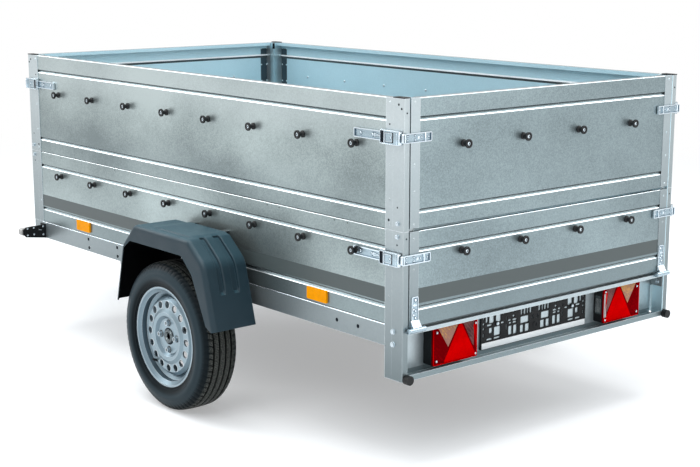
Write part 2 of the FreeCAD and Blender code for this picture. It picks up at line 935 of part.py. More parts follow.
def axle_tube():
    """Hexagonal torsion axle with its two mounting brackets."""
    end = half - axle_end_inset
    corner = axle_flats / 2 / math.cos(math.radians(30))
    points = []
    for index in range(6):
        angle = math.radians(60 * index)
        points.append((tube_x + corner * math.cos(angle), tube_z + corner * math.sin(angle)))
    pieces = [prism(points, "y", -end, end)]
    pad_high = rail_low - seat_gap
    pad_low = pad_high - bracket_plate
    outer = half - sheet
    inner = outer - rail_flange
    web = [
        (tube_x - axle_web_top, pad_low), (tube_x + axle_web_top, pad_low),
        (tube_x + axle_web_low, tube_z - axle_web_under),
        (tube_x - axle_web_low, tube_z - axle_web_under),
    ]
    for sign in (-1, 1):
        y0 = min(sign * inner, sign * outer)
        y1 = max(sign * inner, sign * outer)
        pieces.append(block(tube_x - axle_pad, tube_x + axle_pad, y0, y1, pad_low, pad_high))
        for place in (inner + axle_web_inset, outer - bracket_web_inset):
            y0 = min(sign * place, sign * (place + bracket_plate))
            pieces.append(prism(web, "y", y0, y0 + bracket_plate))
    return joined(pieces)


def swing_arm():
    """Trailing arm from the axle end down to the wheel spindle, on the left."""
    start = half - axle_end_inset + seat_gap
    outer = half + swing_arm_out
    inner = outer - swing_arm_width
    boss = rod(Vector(tube_x, start, tube_z), Vector(tube_x, outer, tube_z), swing_boss_radius)
    eye = rod(Vector(wheel_x, inner, wheel_radius), Vector(wheel_x, outer, wheel_radius),
              swing_eye_radius)
    along = Vector(tube_x - wheel_x, 0, tube_z - wheel_radius)
    along.normalize()
    across = Vector(-along.z, 0, along.x)
    wide = swing_boss_radius - swing_blade_set
    slim = swing_eye_radius - swing_blade_set
    corners = []
    for x, z, reach in ((tube_x, tube_z, wide), (wheel_x, wheel_radius, slim)):
        corners.append((x + across.x * reach, z + across.z * reach))
    for x, z, reach in ((wheel_x, wheel_radius, slim), (tube_x, tube_z, wide)):
        corners.append((x - across.x * reach, z - across.z * reach))
    blade = prism(corners, "y", inner, outer)
    spindle = rod(Vector(wheel_x, outer, wheel_radius),
                  Vector(wheel_x, wheel_y + rim_offset - spindle_end_back, wheel_radius),
                  spindle_radius)
    collar = rod(Vector(wheel_x, outer, wheel_radius),
                 Vector(wheel_x, outer + collar_length, wheel_radius), collar_radius)
    return joined([boss, eye, blade, spindle, collar])


def hub():
    """Hub with its flange, wheel bolts and grease cap, on the left."""
    centre = Vector(wheel_x, 0, wheel_radius)
    face = wheel_y + rim_offset
    start = half + swing_arm_out + collar_length + hub_clearance
    bore = spindle_radius + spindle_clearance
    cap_base = hub_cap_radius - hub_cap_step
    body = spun([
        (bore, start), (hub_barrel_radius, start), (hub_barrel_radius, face - hub_barrel_back),
        (hub_flange_radius, face - hub_flange), (hub_flange_radius, face), (hub_cap_radius, face),
        (hub_cap_radius, face + hub_cap_rise / 2), (cap_base, face + hub_cap_rise),
        (0.0, face + hub_cap_rise), (0.0, face - hub_cap_wall), (bore, face - hub_cap_wall),
    ], centre)
    pieces = [body]
    for index in range(bolt_count):
        angle = math.radians(360 / bolt_count * index)
        x = wheel_x + bolt_circle * math.cos(angle)
        z = wheel_radius + bolt_circle * math.sin(angle)
        pieces.append(rod(Vector(x, face - bolt_sunk, z), Vector(x, face + bolt_reach / 2, z),
                          bolt_radius))
        pieces.append(rod(Vector(x, face + rim_wall + 2 * seat_gap, z),
                          Vector(x, face + bolt_reach, z), bolt_head_radius))
    return joined(pieces)


def rim():
    """Pressed steel wheel: drop-centre rim and a dished disc with round holes, on the left."""
    centre = Vector(wheel_x, 0, wheel_radius)
    side = rim_width / 2
    hump = rim_seat_radius - 1.0
    outer = [
        (rim_flange_radius, side), (rim_flange_radius, side - rim_flange_width),
        (rim_seat_radius, side - rim_bead_start), (hump, side - rim_bead_end),
        (rim_well_radius, side - rim_well_start), (rim_well_radius, rim_well_end - side),
        (hump, rim_bead_end - side), (rim_seat_radius, rim_bead_start - side),
        (rim_flange_radius, rim_flange_width - side), (rim_flange_radius, -side),
    ]
    inner = [(r - rim_wall, y) for r, y in outer]
    lip = rim_flange_radius - rim_flange_width
    lip_foot = rim_seat_radius + rim_wall
    inner[0] = (lip, side)
    inner[1] = (lip_foot, side - rim_bead_start / 2)
    inner[-1] = (lip, -side)
    inner[-2] = (lip_foot, rim_bead_start / 2 - side)
    barrel = spun([(r, wheel_y + y) for r, y in outer + inner[::-1]], centre)
    face = rim_offset + seat_gap
    well = rim_well_radius - rim_wall + 1.0
    disc_outer = [(r, face + y) for r, y in disc_profile]
    skirt_foot = disc_skirt
    disc_outer += [(well - disc_edge, face - disc_edge), (well - rim_wall, skirt_foot)]
    disc_inner = [(r, y + rim_wall) for r, y in disc_outer[:-2]]
    disc_inner += [(well, face - rim_wall), (well, skirt_foot)]
    points = disc_outer + disc_inner[::-1]
    disc = spun([(r, wheel_y + y) for r, y in points], centre)
    cuts = []
    for count, circle, radius in (
        (rim_hole_count, rim_hole_circle, rim_hole_radius),
        (bolt_count, bolt_circle, bolt_radius + seat_gap),
    ):
        for index in range(count):
            angle = math.radians(360 / count * index)
            x = wheel_x + circle * math.cos(angle)
            z = wheel_radius + circle * math.sin(angle)
            cuts.append(rod(Vector(x, wheel_y, z), Vector(x, wheel_y + side, z), radius))
    return joined([barrel, disc.cut(Part.makeCompound(cuts))])


def tyre():
    centre = Vector(wheel_x, 0, wheel_radius)
    flange = rim_width / 2
    seat = rim_seat_radius + bead_clearance
    lip = rim_flange_radius + bead_clearance
    wide = tyre_width / 2
    outer = [
        (seat, flange - rim_bead_start * 2), (seat, flange - rim_bead_start - 0.5),
        (lip, flange - rim_flange_width - 0.6), (lip, flange - 2.0),
        (lip + sidewall_step, wide - 4.0),
    ]
    outer += [(wheel_radius - drop, out) for drop, out in tyre_shoulder]
    inside = [(lip + sidewall_step, wide - tyre_wall),
              (wheel_radius - tread_wall - 22.0, wide - tyre_wall - 8.0),
              (wheel_radius - tread_wall, 0.0)]
    inside += [(r, -y) for r, y in inside[-2::-1]]
    points = outer + [(r, -y) for r, y in outer[::-1]] + [(r, -y) for r, y in inside]
    return spun([(r, wheel_y + y) for r, y in points], centre)


def mudguard():
    """Moulded guard over the left wheel, open below and towards the body."""
    inside = half - sheet + guard_gap
    outside = inside + guard_width
    points = [(rear + x, base + z) for x, z in guard_points]
    outer = prism(points, "y", inside, outside, list(guard_radii))
    outer = outer.makeFillet(guard_edge_radius, outer_edges(outer, outside))
    inner = guard_offset(points, guard_wall, inside - 1.0, outside - guard_wall)
    inner = inner.makeFillet(guard_edge_radius - guard_wall,
                             outer_edges(inner, outside - guard_wall))
    arch = prism([(rear + x, base + z) for x, z in arch_points], "y", outside - 30.0,
                 outside + 1.0, list(arch_radii))
    shell = outer.cut(inner).cut(arch)
    low, high = base + guard_groove_low, base + guard_points[2][1] + 1.0
    for groove_inner, groove_outer in guard_grooves:
        room = block(rear + guard_points[-1][0] - 1.0, rear + guard_groove_start,
                     half + groove_inner, half + groove_outer, low, high)
        skin = guard_offset(points, 0.0, inside, outside).cut(
            guard_offset(points, guard_groove, inside, outside))
        floor = guard_offset(points, guard_groove, inside, outside).cut(
            guard_offset(points, guard_groove + guard_wall, inside, outside))
        shell = shell.cut(skin.common(room)).fuse(floor.common(room))
    return shell.removeSplitter()


def guard_offset(points, inset, low, high):
    """Everything inside the guard's outline after it is moved inwards by inset."""
    if inset == 0.0:
        return prism(points, "y", low, high, list(guard_radii))
    radii = [max(r - inset, 0.0) for r in guard_radii]
    return prism(offset_outline(points, inset), "y", low, high, radii)


def outer_edges(solid, place):
    """Edges of the guard's outline that lie in the plane y = place, but for the bottom ones."""
    found = []
    for edge in solid.Edges:
        box = edge.BoundBox
        if abs(box.YMin - place) < 0.01 and abs(box.YMax - place) < 0.01:
            if box.ZMax > base + guard_points[0][1] + 1.0:
                found.append(edge)
    return found


def offset_outline(points, wall):
    """The guard's outline moved inwards by its wall, and below its own ends."""
    path = band(points, 2 * wall)
    count = len(points)
    inner = path[:count] if path[1][1] < points[1][1] else path[count:][::-1]
    first = inner[0]
    last = inner[-1]
    return [(first[0], first[1] - 5.0)] + inner[1:-1] + [(last[0], last[1] - 5.0)]


def mudguard_brackets():
    """Bars from the side rail up and out under the crown of each guard."""
    foot = half - sheet + seat_gap
    crown = base + guard_points[3][1] - guard_wall - 2 * seat_gap
    solids = []
    for place in guard_bracket_places:
        left = rear + place - guard_bar_width / 2
        right = rear + place + guard_bar_width / 2
        upright = block(left, right, foot, foot + guard_bar, rail_low + guard_bar_set, crown)
        reach = block(left, right, foot, foot + guard_gap + guard_bar_reach, crown - guard_bar,
                      crown)
        solids.append(joined([upright, reach]))
    return both_sides(*solids)


def tail_lamp(middle):
    """Tail lamp in the rear beam: housing behind, lens with a raised triangle in front."""
    low = base + lamp_low
    high = low + lamp_height
    left = middle - lamp_width / 2
    right = middle + lamp_width / 2
    split = rear + lamp_face + lamp_lens
    housing = prism([(left, low), (right, low), (right, high), (left, high)], "x",
                    split + seat_gap / 3, rear + beam_depth - beam_wall - seat_gap / 3,
                    [lamp_corner] * 4)
    lens = prism([(left + 1, low + 1), (right - 1, low + 1), (right - 1, high - 1),
                  (left + 1, high - 1)], "x", rear + lamp_face + triangle_rise, split,
                 [lamp_corner - 1] * 4)
    rise = triangle_side * math.sqrt(3) / 2
    shift = -triangle_shift if middle > 0 else triangle_shift
    foot = low + triangle_low
    triangle = prism([(middle + shift - triangle_side / 2, foot),
                      (middle + shift + triangle_side / 2, foot),
                      (middle + shift, foot + rise)], "x", rear + lamp_face,
                     rear + lamp_face + triangle_rise + 1.0)
    return housing, joined([lens, triangle])


def tail_lamps():
    left = tail_lamp(lamp_centre)
    right = tail_lamp(-lamp_centre)
    return Part.makeCompound([left[0], right[0]]), Part.makeCompound([left[1], right[1]])


def plate_holder():
    """Lattice plate holder on the web of the rear beam."""
    low = base + holder_low
    high = low + holder_height
    side = holder_width / 2
    back = rear + beam_depth - beam_wall - seat_gap / 3
    body = block(back - holder_depth, back, -side, side, low, high)
    cell_w = (holder_width - 2 * holder_border - (holder_columns - 1) * holder_bar) / holder_columns
    cell_h = (holder_height - 2 * holder_border - holder_strip - (holder_rows - 1) * holder_bar)
    cell_h /= holder_rows
    cells = []
    for column in range(holder_columns):
        for row in range(holder_rows):
            y = -side + holder_border + column * (cell_w + holder_bar)
            z = low + holder_border + holder_strip + row * (cell_h + holder_bar)
            cells.append(block(back - holder_depth - 1.0, back + 1.0, y, y + cell_w, z,
                               z + cell_h))
    return body.cut(Part.makeCompound(cells))


def rear_buffer():
    y = half - buffer_inset
    z = base + buffer_height
    return rod(Vector(rear - buffer_length, y, z), Vector(rear - seat_gap, y, z), buffer_radius)


def side_reflectors():
    solids = []
    low = deck + reflector_low
    for centre in (reflector_rear, body_length - reflector_front):
        x0 = rear + centre - reflector_width / 2
        x1 = rear + centre + reflector_width / 2
        points = [(x0, low), (x1, low), (x1, low + reflector_height), (x0, low + reflector_height)]
        solids.append(prism(points, "y", half - sheet + seat_gap,
                            half - sheet + seat_gap + reflector_depth, [reflector_corner] * 4))
    return both_sides(*solids)


def position_lamp_brackets():
    x = front - position_lamp_back
    foot = half - sheet + seat_gap
    reach = half + position_lamp_reach
    high = rail_low + position_plate_height
    step = position_plate_taper
    plate = prism([(foot, rail_low), (reach - step, rail_low + step), (reach, rail_low + 2 * step),
                   (reach, high - step), (reach - step, high - step / 3), (foot, high)],
                  "x", x - position_plate, x)
    foot_plate = block(x - position_plate, x + position_foot, foot, foot + position_plate,
                       rail_low, high)
    return both_sides(joined([plate, foot_plate]))


def position_lamps():
    x = front - position_lamp_back + seat_gap
    outer = half + position_lamp_reach + position_lamp_over
    inner = outer - position_lamp_width
    z = rail_low + position_plate_height * 0.6
    high = position_lamp_height / 2
    lamp = prism([(inner, z - high), (outer, z - high + 4.0), (outer, z + high - 4.0),
                  (inner, z + high)], "x", x, x + position_lamp_depth, [6.0, 10.0, 10.0, 6.0])
    return both_sides(lamp)


def jockey_clamp():
    """Cross plate on the arms with the clamp that holds the jockey tube."""
    low = rail_low
    reach = arm_y_at(jockey_x) + clamp_over
    plate = block(jockey_x - clamp_half, jockey_x + clamp_half, -reach, reach, low,
                  low + clamp_plate)
    ring = rod(Vector(jockey_x, 0, low), Vector(jockey_x, 0, low + clamp_height),
               jockey_tube_radius + clamp_wall)
    lug = block(jockey_x - jockey_tube_radius - clamp_wall - clamp_lug, jockey_x - clamp_half / 2,
                -clamp_wall, clamp_wall, low + clamp_plate, low + clamp_height - 2.0)
    hole = rod(Vector(jockey_x, 0, low - 1.0), Vector(jockey_x, 0, low + clamp_height + 1.0),
               jockey_tube_radius + seat_gap)
    return joined([plate, ring, lug]).cut(hole)


def jockey_tube():
    """Outer tube with its cap and crank."""
    high = jockey_tube_high
    body = rod(Vector(jockey_x, 0, jockey_tube_low), Vector(jockey_x, 0, high),
               jockey_tube_radius)
    bore = rod(Vector(jockey_x, 0, jockey_tube_low - 1.0),
               Vector(jockey_x, 0, high - jockey_tube_wall),
               jockey_tube_radius - jockey_tube_wall)
    cap = rod(Vector(jockey_x, 0, high - 2 * jockey_cap_rise),
              Vector(jockey_x, 0, high + jockey_cap_rise), jockey_tube_radius + jockey_cap_over)
    arm_low = high + 2 * jockey_cap_rise
    arm_high = arm_low + crank_thickness
    shaft = rod(Vector(jockey_x, 0, high), Vector(jockey_x, 0, arm_high), crank_shaft_radius)
    grip_y = crank_reach - crank_half_width
    crank = block(jockey_x - crank_half_width, jockey_x + crank_half_width, -crank_half_width,
                  crank_reach, arm_low, arm_high)
    grip = rod(Vector(jockey_x, grip_y, arm_low - crank_grip_length),
               Vector(jockey_x, grip_y, arm_high), crank_grip_radius)
    return joined([body, cap, shaft, crank, grip]).cut(bore)


def jockey_leg():
    start = fork_top + seat_gap
    body = tube(Vector(jockey_x, 0, start), Vector(jockey_x, 0, jockey_leg_high),
                jockey_leg_radius, jockey_leg_radius - jockey_leg_wall)
    foot = rod(Vector(jockey_x, 0, start), Vector(jockey_x, 0, start + jockey_foot),
               jockey_leg_radius)
    return joined([body, foot])


def jockey_fork():
    """Swivelling fork with the wheel pin."""
    width = jockey_wheel_width / 2 + fork_clearance
    x = jockey_x - jockey_trail
    z = jockey_wheel_radius
    crown = block(jockey_x - fork_back, jockey_x + fork_front, -width - fork_wall,
                  width + fork_wall, fork_top - fork_wall, fork_top)
    outline = [
        (jockey_x - fork_back, fork_top), (x - fork_eye, z), (x - fork_eye / 2, z - fork_eye),
        (x + fork_eye / 2, z - fork_eye), (jockey_x + fork_front, fork_top - 2 * fork_wall),
        (jockey_x + fork_front, fork_top),
    ]
    pieces = [crown]
    for sign in (-1, 1):
        y0 = min(sign * width, sign * (width + fork_wall))
        pieces.append(prism(outline, "y", y0, y0 + fork_wall))
    reach = width + 2 * fork_wall
    pieces.append(rod(Vector(x, -reach, z), Vector(x, reach, z), jockey_pin_radius))
    return joined(pieces)


def jockey_wheel():
    x = jockey_x - jockey_trail
    centre = Vector(x, 0, jockey_wheel_radius)
    side = jockey_wheel_width / 2
    bore = jockey_pin_radius + pin_clearance
    tread = side - jockey_tread_inset
    half_section = [
        (bore, side), (jockey_hub_radius, side), (jockey_hub_radius + 4.0, jockey_web_half),
        (jockey_felloe_radius - 6.0, jockey_web_half), (jockey_felloe_radius, tread),
        (jockey_wheel_radius - jockey_tread_edge, tread),
        (jockey_wheel_radius, tread - jockey_tread_edge * 2),
    ]
    return spun([(r, -y) for r, y in half_section] + half_section[::-1], centre)


def build_all():
    parts = {}
    parts["side_rails"] = both_sides(side_rail())
    parts["cross_members"] = cross_members()
    parts["rear_beam"] = rear_beam()
    parts["floor_board"] = floor_board()
    parts["drawbar_arms"] = both_sides(drawbar_arm())
    parts["drawbar_brackets"] = drawbar_brackets()
    parts["coupling_head"] = coupling_head()
    parts["coupling_handle"] = coupling_handle()
    parts["jockey_clamp"] = jockey_clamp()
    parts["jockey_tube"] = jockey_tube()
    parts["axle_tube"] = axle_tube()
    parts["swing_arms"] = both_sides(swing_arm())
    lower_side = side_panel(deck, seam - seam_gap / 2, lower_grooves)
    upper_side = side_panel(seam + seam_gap / 2, top, upper_grooves)
    parts["side_panels_lower"] = both_sides(lower_side)
    parts["side_panels_upper"] = both_sides(upper_side)
    parts["front_panel_lower"] = front_lower_panel()
    parts["posts_lower"] = lower_posts()
    parts["posts_upper"] = upper_posts()
    parts["post_caps"] = post_caps()
    parts["side_hooks"] = side_hooks()
    parts["latch_bases"] = latch_bases()
    parts["hinge_brackets"] = hinge_brackets()
    parts["mudguards"] = both_sides(mudguard())
    parts["mudguard_brackets"] = mudguard_brackets()
    parts["tail_lamp_housings"], parts["tail_lamp_lenses"] = tail_lamps()
    parts["plate_holder"] = plate_holder()
    parts["rear_buffers"] = both_sides(rear_buffer())
    parts["side_reflectors"] = side_reflectors()
    parts["position_lamp_brackets"] = position_lamp_brackets()
    parts["position_lamps"] = position_lamps()

    parts["tailgate_lower_panel"] = lower_gate()
    parts["tailgate_lower_hooks"] = gate_hook_row(deck + lower_hook_height)
    parts["tailgate_lower_hinges"] = lower_hinges()
    parts["tailgate_lower_straps"] = latch_straps(deck + lower_latch_height)

    gate = upper_gate()
    straps = latch_straps(seam + upper_latch_height)
    hooks = gate_hook_row(seam + upper_hook_height)
    parts["tailgate_upper_panel"] = gate
    parts["tailgate_upper_hooks"] = hooks
    parts["tailgate_upper_straps"] = straps
    parts["front_gate_panel"] = turned_to_front(gate)
    parts["front_gate_hooks"] = turned_to_front(hooks)
    parts["front_gate_straps"] = turned_to_front(straps)

    for name, piece in (("tyre", tyre()), ("rim", rim()), ("hub", hub())):
        parts[name + "_left"] = piece
        parts[name + "_right"] = mirrored(piece)

    parts["jockey_leg"] = jockey_leg()
    parts["jockey_fork"] = jockey_fork()
    parts["jockey_wheel"] = jockey_wheel()
    return parts


os.makedirs("parts", exist_ok=True)
for node, shape in build_all().items():
    shape.exportStep("parts/" + node + ".step")
    print(node, len(shape.Solids), "solids", round(shape.Volume / 1000), "cm3", shape.isValid())
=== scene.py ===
import math

import bmesh
import bpy
from mathutils import Matrix, Vector


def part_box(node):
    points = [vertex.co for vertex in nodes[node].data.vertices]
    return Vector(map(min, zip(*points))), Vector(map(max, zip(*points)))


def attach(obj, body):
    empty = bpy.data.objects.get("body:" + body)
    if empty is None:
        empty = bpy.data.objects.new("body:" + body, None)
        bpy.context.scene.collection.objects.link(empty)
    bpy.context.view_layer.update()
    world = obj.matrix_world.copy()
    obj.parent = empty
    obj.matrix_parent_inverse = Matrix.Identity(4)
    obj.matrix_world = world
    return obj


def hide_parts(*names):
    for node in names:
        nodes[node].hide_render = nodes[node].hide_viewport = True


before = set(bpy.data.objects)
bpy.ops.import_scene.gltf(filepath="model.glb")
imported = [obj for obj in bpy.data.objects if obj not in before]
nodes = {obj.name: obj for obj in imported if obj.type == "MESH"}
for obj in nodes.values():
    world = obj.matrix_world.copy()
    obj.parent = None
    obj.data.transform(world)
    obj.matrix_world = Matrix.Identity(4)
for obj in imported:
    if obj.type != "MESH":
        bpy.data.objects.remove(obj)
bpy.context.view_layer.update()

# Places are metres in the trailer's own frame: +X to the coupling, +Y left, +Z up.
postLow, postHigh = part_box("posts_upper")
body = {
    "rear": postLow.x,
    "front": postHigh.x,
    "half": postHigh.y,
    "base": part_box("posts_lower")[0].z,
    "deck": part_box("floor_board")[0].z,
    "seam": postLow.z,
    "top": postHigh.z,
    "sheet": 0.0015,
}
rear, front, half, base = body["rear"], body["front"], body["half"], body["base"]
midLength = (rear + front) / 2
skin = half - body["sheet"]      # outer face of the side panels
gateSkin = rear + body["sheet"]  # outer face of the rear gates
toRear, toLeft, toTop = Vector((-1, 0, 0)), Vector((0, 1, 0)), Vector((0, 0, 1))
fullTurn = 2 * math.pi


# Shapes

def newSince(before, sequence):
    return [item for item in sequence if item not in before]


def onlyVerts(geom):
    return [item for item in geom if isinstance(item, bmesh.types.BMVert)]


def newMeshes(count):
    return [bmesh.new() for _ in range(count)]


def ray(angle):
    # a spoke's direction in the plane of the wheels
    return Vector((math.cos(angle), 0, math.sin(angle)))


def roundOff(bm, geom, offset, segments, affect="EDGES"):
    bmesh.ops.bevel(bm, geom=geom, offset=offset, segments=segments, profile=0.5, affect=affect,
                    material=-1)


def addBox(bm, low, high, bevel=0.0):
    low, high = Vector(low), Vector(high)
    made = bmesh.ops.create_cube(bm, size=1.0)["verts"]
    bmesh.ops.scale(bm, vec=high - low, verts=made)
    bmesh.ops.translate(bm, vec=(low + high) / 2, verts=made)
    edges = list({edge for vert in made for edge in vert.link_edges})
    if bevel:
        roundOff(bm, edges, bevel, 2)
    return edges


def addRod(bm, start, end, radius, segments=18, tip=None):
    start, end = Vector(start), Vector(end)
    turn = (end - start).to_track_quat("Z", "Y").to_matrix().to_4x4()
    bmesh.ops.create_cone(bm, cap_ends=True, segments=segments, radius1=radius,
                          radius2=radius if tip is None else tip, depth=(end - start).length,
                          matrix=Matrix.Translation((start + end) / 2) @ turn)


def addSpin(bm, profile, centre, axis, steps=24):
    # the profile holds (radius, distance along the axis) pairs
    centre, axis = Vector(centre), Vector(axis).normalized()
    side = axis.orthogonal().normalized()
    before = set(bm.verts)
    line = [bm.verts.new(centre + side * r + axis * along) for r, along in profile]
    edges = [bm.edges.new(pair) for pair in zip(line, line[1:])]
    bmesh.ops.spin(bm, geom=line + edges, cent=centre, axis=axis, angle=fullTurn, steps=steps,
                   use_merge=True)
    bmesh.ops.remove_doubles(bm, verts=newSince(before, bm.verts), dist=1e-6)


def addPlate(bm, outline, depth, corner=0.0, bevel=0.0):
    # a flat outline with its corners rounded, pushed along depth
    verts = [bm.verts.new(point) for point in outline]
    before = set(bm.faces)
    face = bm.faces.new(verts)
    if corner:
        roundOff(bm, verts, corner, 4, "VERTICES")
        face = newSince(before, bm.faces)[0]
    made = bmesh.ops.extrude_face_region(bm, geom=[face])["geom"]
    bmesh.ops.translate(bm, vec=depth, verts=onlyVerts(made))
    if bevel:
        lid = [item for item in made if isinstance(item, bmesh.types.BMFace)][0]
        roundOff(bm, list(lid.edges), bevel, 2)


def addTray(bm, low, high, out, corner, lip, depth):
    # a pressed strip: rounded corners, a raised rim and a sunk middle on its outer side,
    # where the floor takes the piece's second look, painted shade, and the slope round it the third, deeper
    # painted shade
    out = Vector(out)
    before = set(bm.faces)
    edges = addBox(bm, low, high)
    upright = [edge for edge in edges
               if abs((edge.verts[0].co - edge.verts[1].co).normalized().dot(out)) > 0.9]
    roundOff(bm, upright, corner, 4)
    face = max(newSince(before, bm.faces), key=lambda item: item.calc_center_median().dot(out))
    bmesh.ops.inset_region(bm, faces=[face], thickness=lip)
    slope = bmesh.ops.inset_region(bm, faces=[face], thickness=depth * 0.35)["faces"]
    bmesh.ops.translate(bm, vec=out * -depth, verts=face.verts[:])
    face.material_index = 1
    for ring in slope:
        ring.material_index = 2


def addDome(bm, place, out, radius, rise):
    # a low round head, such as a rivet, standing on a surface
    addSpin(bm, ((radius, 0), (radius * 0.92, rise * 0.5), (radius * 0.6, rise * 0.9), (0, rise)),
            place, out, 12)


def paintNew(bm, before, index):
    for face in newSince(before, bm.faces):
        face.material_index = index


def addRivet(bm, place, out, radius, rise):
    # a bright head on a dark disc of painted shade round its foot
    place, out = Vector(place), Vector(out)
    before = set(bm.faces)
    addRod(bm, place - out * 0.0002, place + out * 0.0002, radius * 1.45, 16)
    paintNew(bm, before, 2)
    addDome(bm, place, out, radius, rise)


def addBolt(bm, place, out, size, rise):
    # a hexagon head on its washer, the size measured across its flats
    place, out = Vector(place), Vector(out)
    seat = place + out * rise * 0.22
    addRod(bm, place, seat, size * 0.62, 18)
    addRod(bm, seat, place + out * rise, size / math.sqrt(3), 6)
    addDome(bm, place + out * rise, out, size * 0.42, rise * 0.12)


def copyMirrored(meshes, axis, middle=0.0):
    flip, shift = Vector((1, 1, 1)), Vector((0, 0, 0))
    flip[axis], shift[axis] = -1, -middle
    for bm in meshes:
        made = bmesh.ops.duplicate(bm, geom=bm.verts[:] + bm.edges[:] + bm.faces[:])["geom"]
        bmesh.ops.scale(bm, vec=flip, space=Matrix.Translation(shift), verts=onlyVerts(made))


def moveToFront(bm):
    # turns what was built for a rear gate into its mirror image at the front
    bmesh.ops.scale(bm, vec=(-1, 1, 1), space=Matrix.Translation((-midLength, 0, 0)), verts=bm.verts)


def finishPiece(bm, name, looks, rider="chassis", replaced=(), sharp=32.0):
    bmesh.ops.recalc_face_normals(bm, faces=bm.faces)
    data = bpy.data.meshes.new(name)
    bm.to_mesh(data)
    bm.free()
    for look in looks if isinstance(looks, tuple) else (looks,):
        data.materials.append(look)
    data.shade_smooth()
    data.set_sharp_from_angle(angle=math.radians(sharp))
    piece = bpy.data.objects.new(name, data)
    bpy.context.collection.objects.link(piece)
    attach(piece, rider)
    if replaced:
        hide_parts(*replaced)


# Shader helpers and the effects that several finishes share

def link(value, socket):
    # a wire where the value is a node's output, else a constant
    if isinstance(value, bpy.types.NodeSocket):
        value.id_data.links.new(value, socket)
    else:
        socket.default_value = value


def addNode(tree, kind, inputs=None, **settings):
    made = tree.nodes.new("ShaderNode" + kind)
    for key, value in settings.items():
        setattr(made, key, value)
    for key, value in (inputs or {}).items():
        link(value, made.inputs[key])
    return made


def useGroup(tree, group, **inputs):
    return addNode(tree, "Group", inputs, node_tree=group).outputs


def calc(operation, first, second=0.0, clamp=False):
    wired = first if isinstance(first, bpy.types.NodeSocket) else second
    return addNode(wired.id_data, "Math", {0: first, 1: second}, operation=operation,
                   use_clamp=clamp).outputs[0]


def times(first, *others):
    for other in others:
        first = calc("MULTIPLY", first, other)
    return first


def plus(first, second):
    return calc("ADD", first, second)


def minus(first, second):
    return calc("SUBTRACT", first, second)


def unsigned(value):
    return calc("ABSOLUTE", value)


def larger(first, second):
    return calc("MAXIMUM", first, second)


def below(value, limit):
    return calc("LESS_THAN", value, limit)


def above(value, limit):
    return calc("GREATER_THAN", value, limit)


def mixColour(factor, first, second):
    return addNode(factor.id_data, "Mix", {0: factor, 6: first, 7: second}, data_type="RGBA").outputs[2]


def ramp(value, low, high, start=0.0, end=1.0, smooth=False):
    return addNode(value.id_data, "MapRange", {0: value, 1: low, 2: high, 3: start, 4: end},
                   interpolation_type="SMOOTHSTEP" if smooth else "LINEAR").outputs[0]


def coords(tree):
    return addNode(tree, "TexCoord").outputs


def axes(vector):
    return addNode(vector.id_data, "SeparateXYZ", {0: vector}).outputs


def noise(place, scale, detail, roughness=0.5):
    return addNode(place.id_data, "TexNoise", {"Vector": place, "Scale": scale, "Detail": detail,
                                               "Roughness": roughness}).outputs[0]


def newGroup(name, inputs, outputs):
    # the inputs come with their usual values, and a tuple is a colour
    tree = bpy.data.node_groups.new(name, "ShaderNodeTree")
    for label, value in inputs.items():
        kind = "NodeSocketColor" if isinstance(value, tuple) else "NodeSocketFloat"
        tree.interface.new_socket(name=label, in_out="INPUT", socket_type=kind).default_value = value
    for label in outputs:
        kind = "NodeSocketColor" if label == "Colour" else "NodeSocketFloat"
        tree.interface.new_socket(name=label, in_out="OUTPUT", socket_type=kind)
    return tree, tree.nodes.new("NodeGroupInput").outputs, tree.nodes.new("NodeGroupOutput").inputs


def makeSpangleGroup():
    # crystals of a zinc coat, fine speckle and broad clouding between two colours
    tree, given, result = newGroup(
        "zincSpangle", {"Dark": (0.3, 0.35, 0.36, 1), "Light": (0.5, 0.55, 0.56, 1), "Size": 150.0,
                        "Grain": 0.5, "Clouding": 0.5}, ("Colour", "Shade", "Height"))
    place = coords(tree)["Object"]
    crystals = addNode(tree, "TexVoronoi", {"Vector": place, "Scale": given["Size"]})
    cell = addNode(tree, "SeparateColor", {0: crystals.outputs["Color"]}).outputs[0]
    fine = noise(place, times(given["Size"], 2.3), 2.0)
    drawn = addNode(tree, "Mapping", {"Vector": place, "Scale": (1.0, 1.0, 1.8)}).outputs[0]
    broad = noise(drawn, 1.7, 3.0, 0.45)
    mottle = noise(place, 26.0, 5.0, 0.75)
    grain = plus(times(minus(cell, 0.5), 0.7), times(minus(fine, 0.5), 1.6))
    patches = plus(times(broad, 4.6), times(mottle, 0.7))
    cloud = times(minus(patches, 2.65), given["Clouding"])
    shade = calc("ADD", plus(times(grain, given["Grain"]), cloud), 0.5, clamp=True)
    link(mixColour(shade, given["Dark"], given["Light"]), result["Colour"])
    link(shade, result["Shade"])
    link(cell, result["Height"])
    return tree


def makeEdgeGroup():
    # painted highlight: folded edges are drawn lighter than the faces between them, as where they catch
    # more light
    tree, given, result = newGroup(
        "edgeLight", {"Colour": (0.5, 0.5, 0.5, 1), "Edge": (0.8, 0.8, 0.8, 1), "Width": 0.002,
                      "Amount": 1.0}, ("Colour",))
    soft = addNode(tree, "Bevel", {"Radius": given["Width"]}, samples=4).outputs[0]
    true = addNode(tree, "NewGeometry").outputs["Normal"]
    lean = addNode(tree, "VectorMath", {0: soft, 1: true}, operation="DOT_PRODUCT").outputs["Value"]
    mask = calc("MULTIPLY", ramp(lean, 0.99, 0.8), given["Amount"], clamp=True)
    link(mixColour(mask, given["Colour"], given["Edge"]), result["Colour"])
    return tree


def makeBandGroup():
    # one between two heights, with a clean printed edge
    tree, given, result = newGroup("heightBand", {"Low": 0.0, "High": 1.0}, ("Mask",))
    height = axes(coords(tree)["Object"])[2]
    link(times(above(height, given["Low"]), below(height, given["High"])), result["Mask"])
    return tree


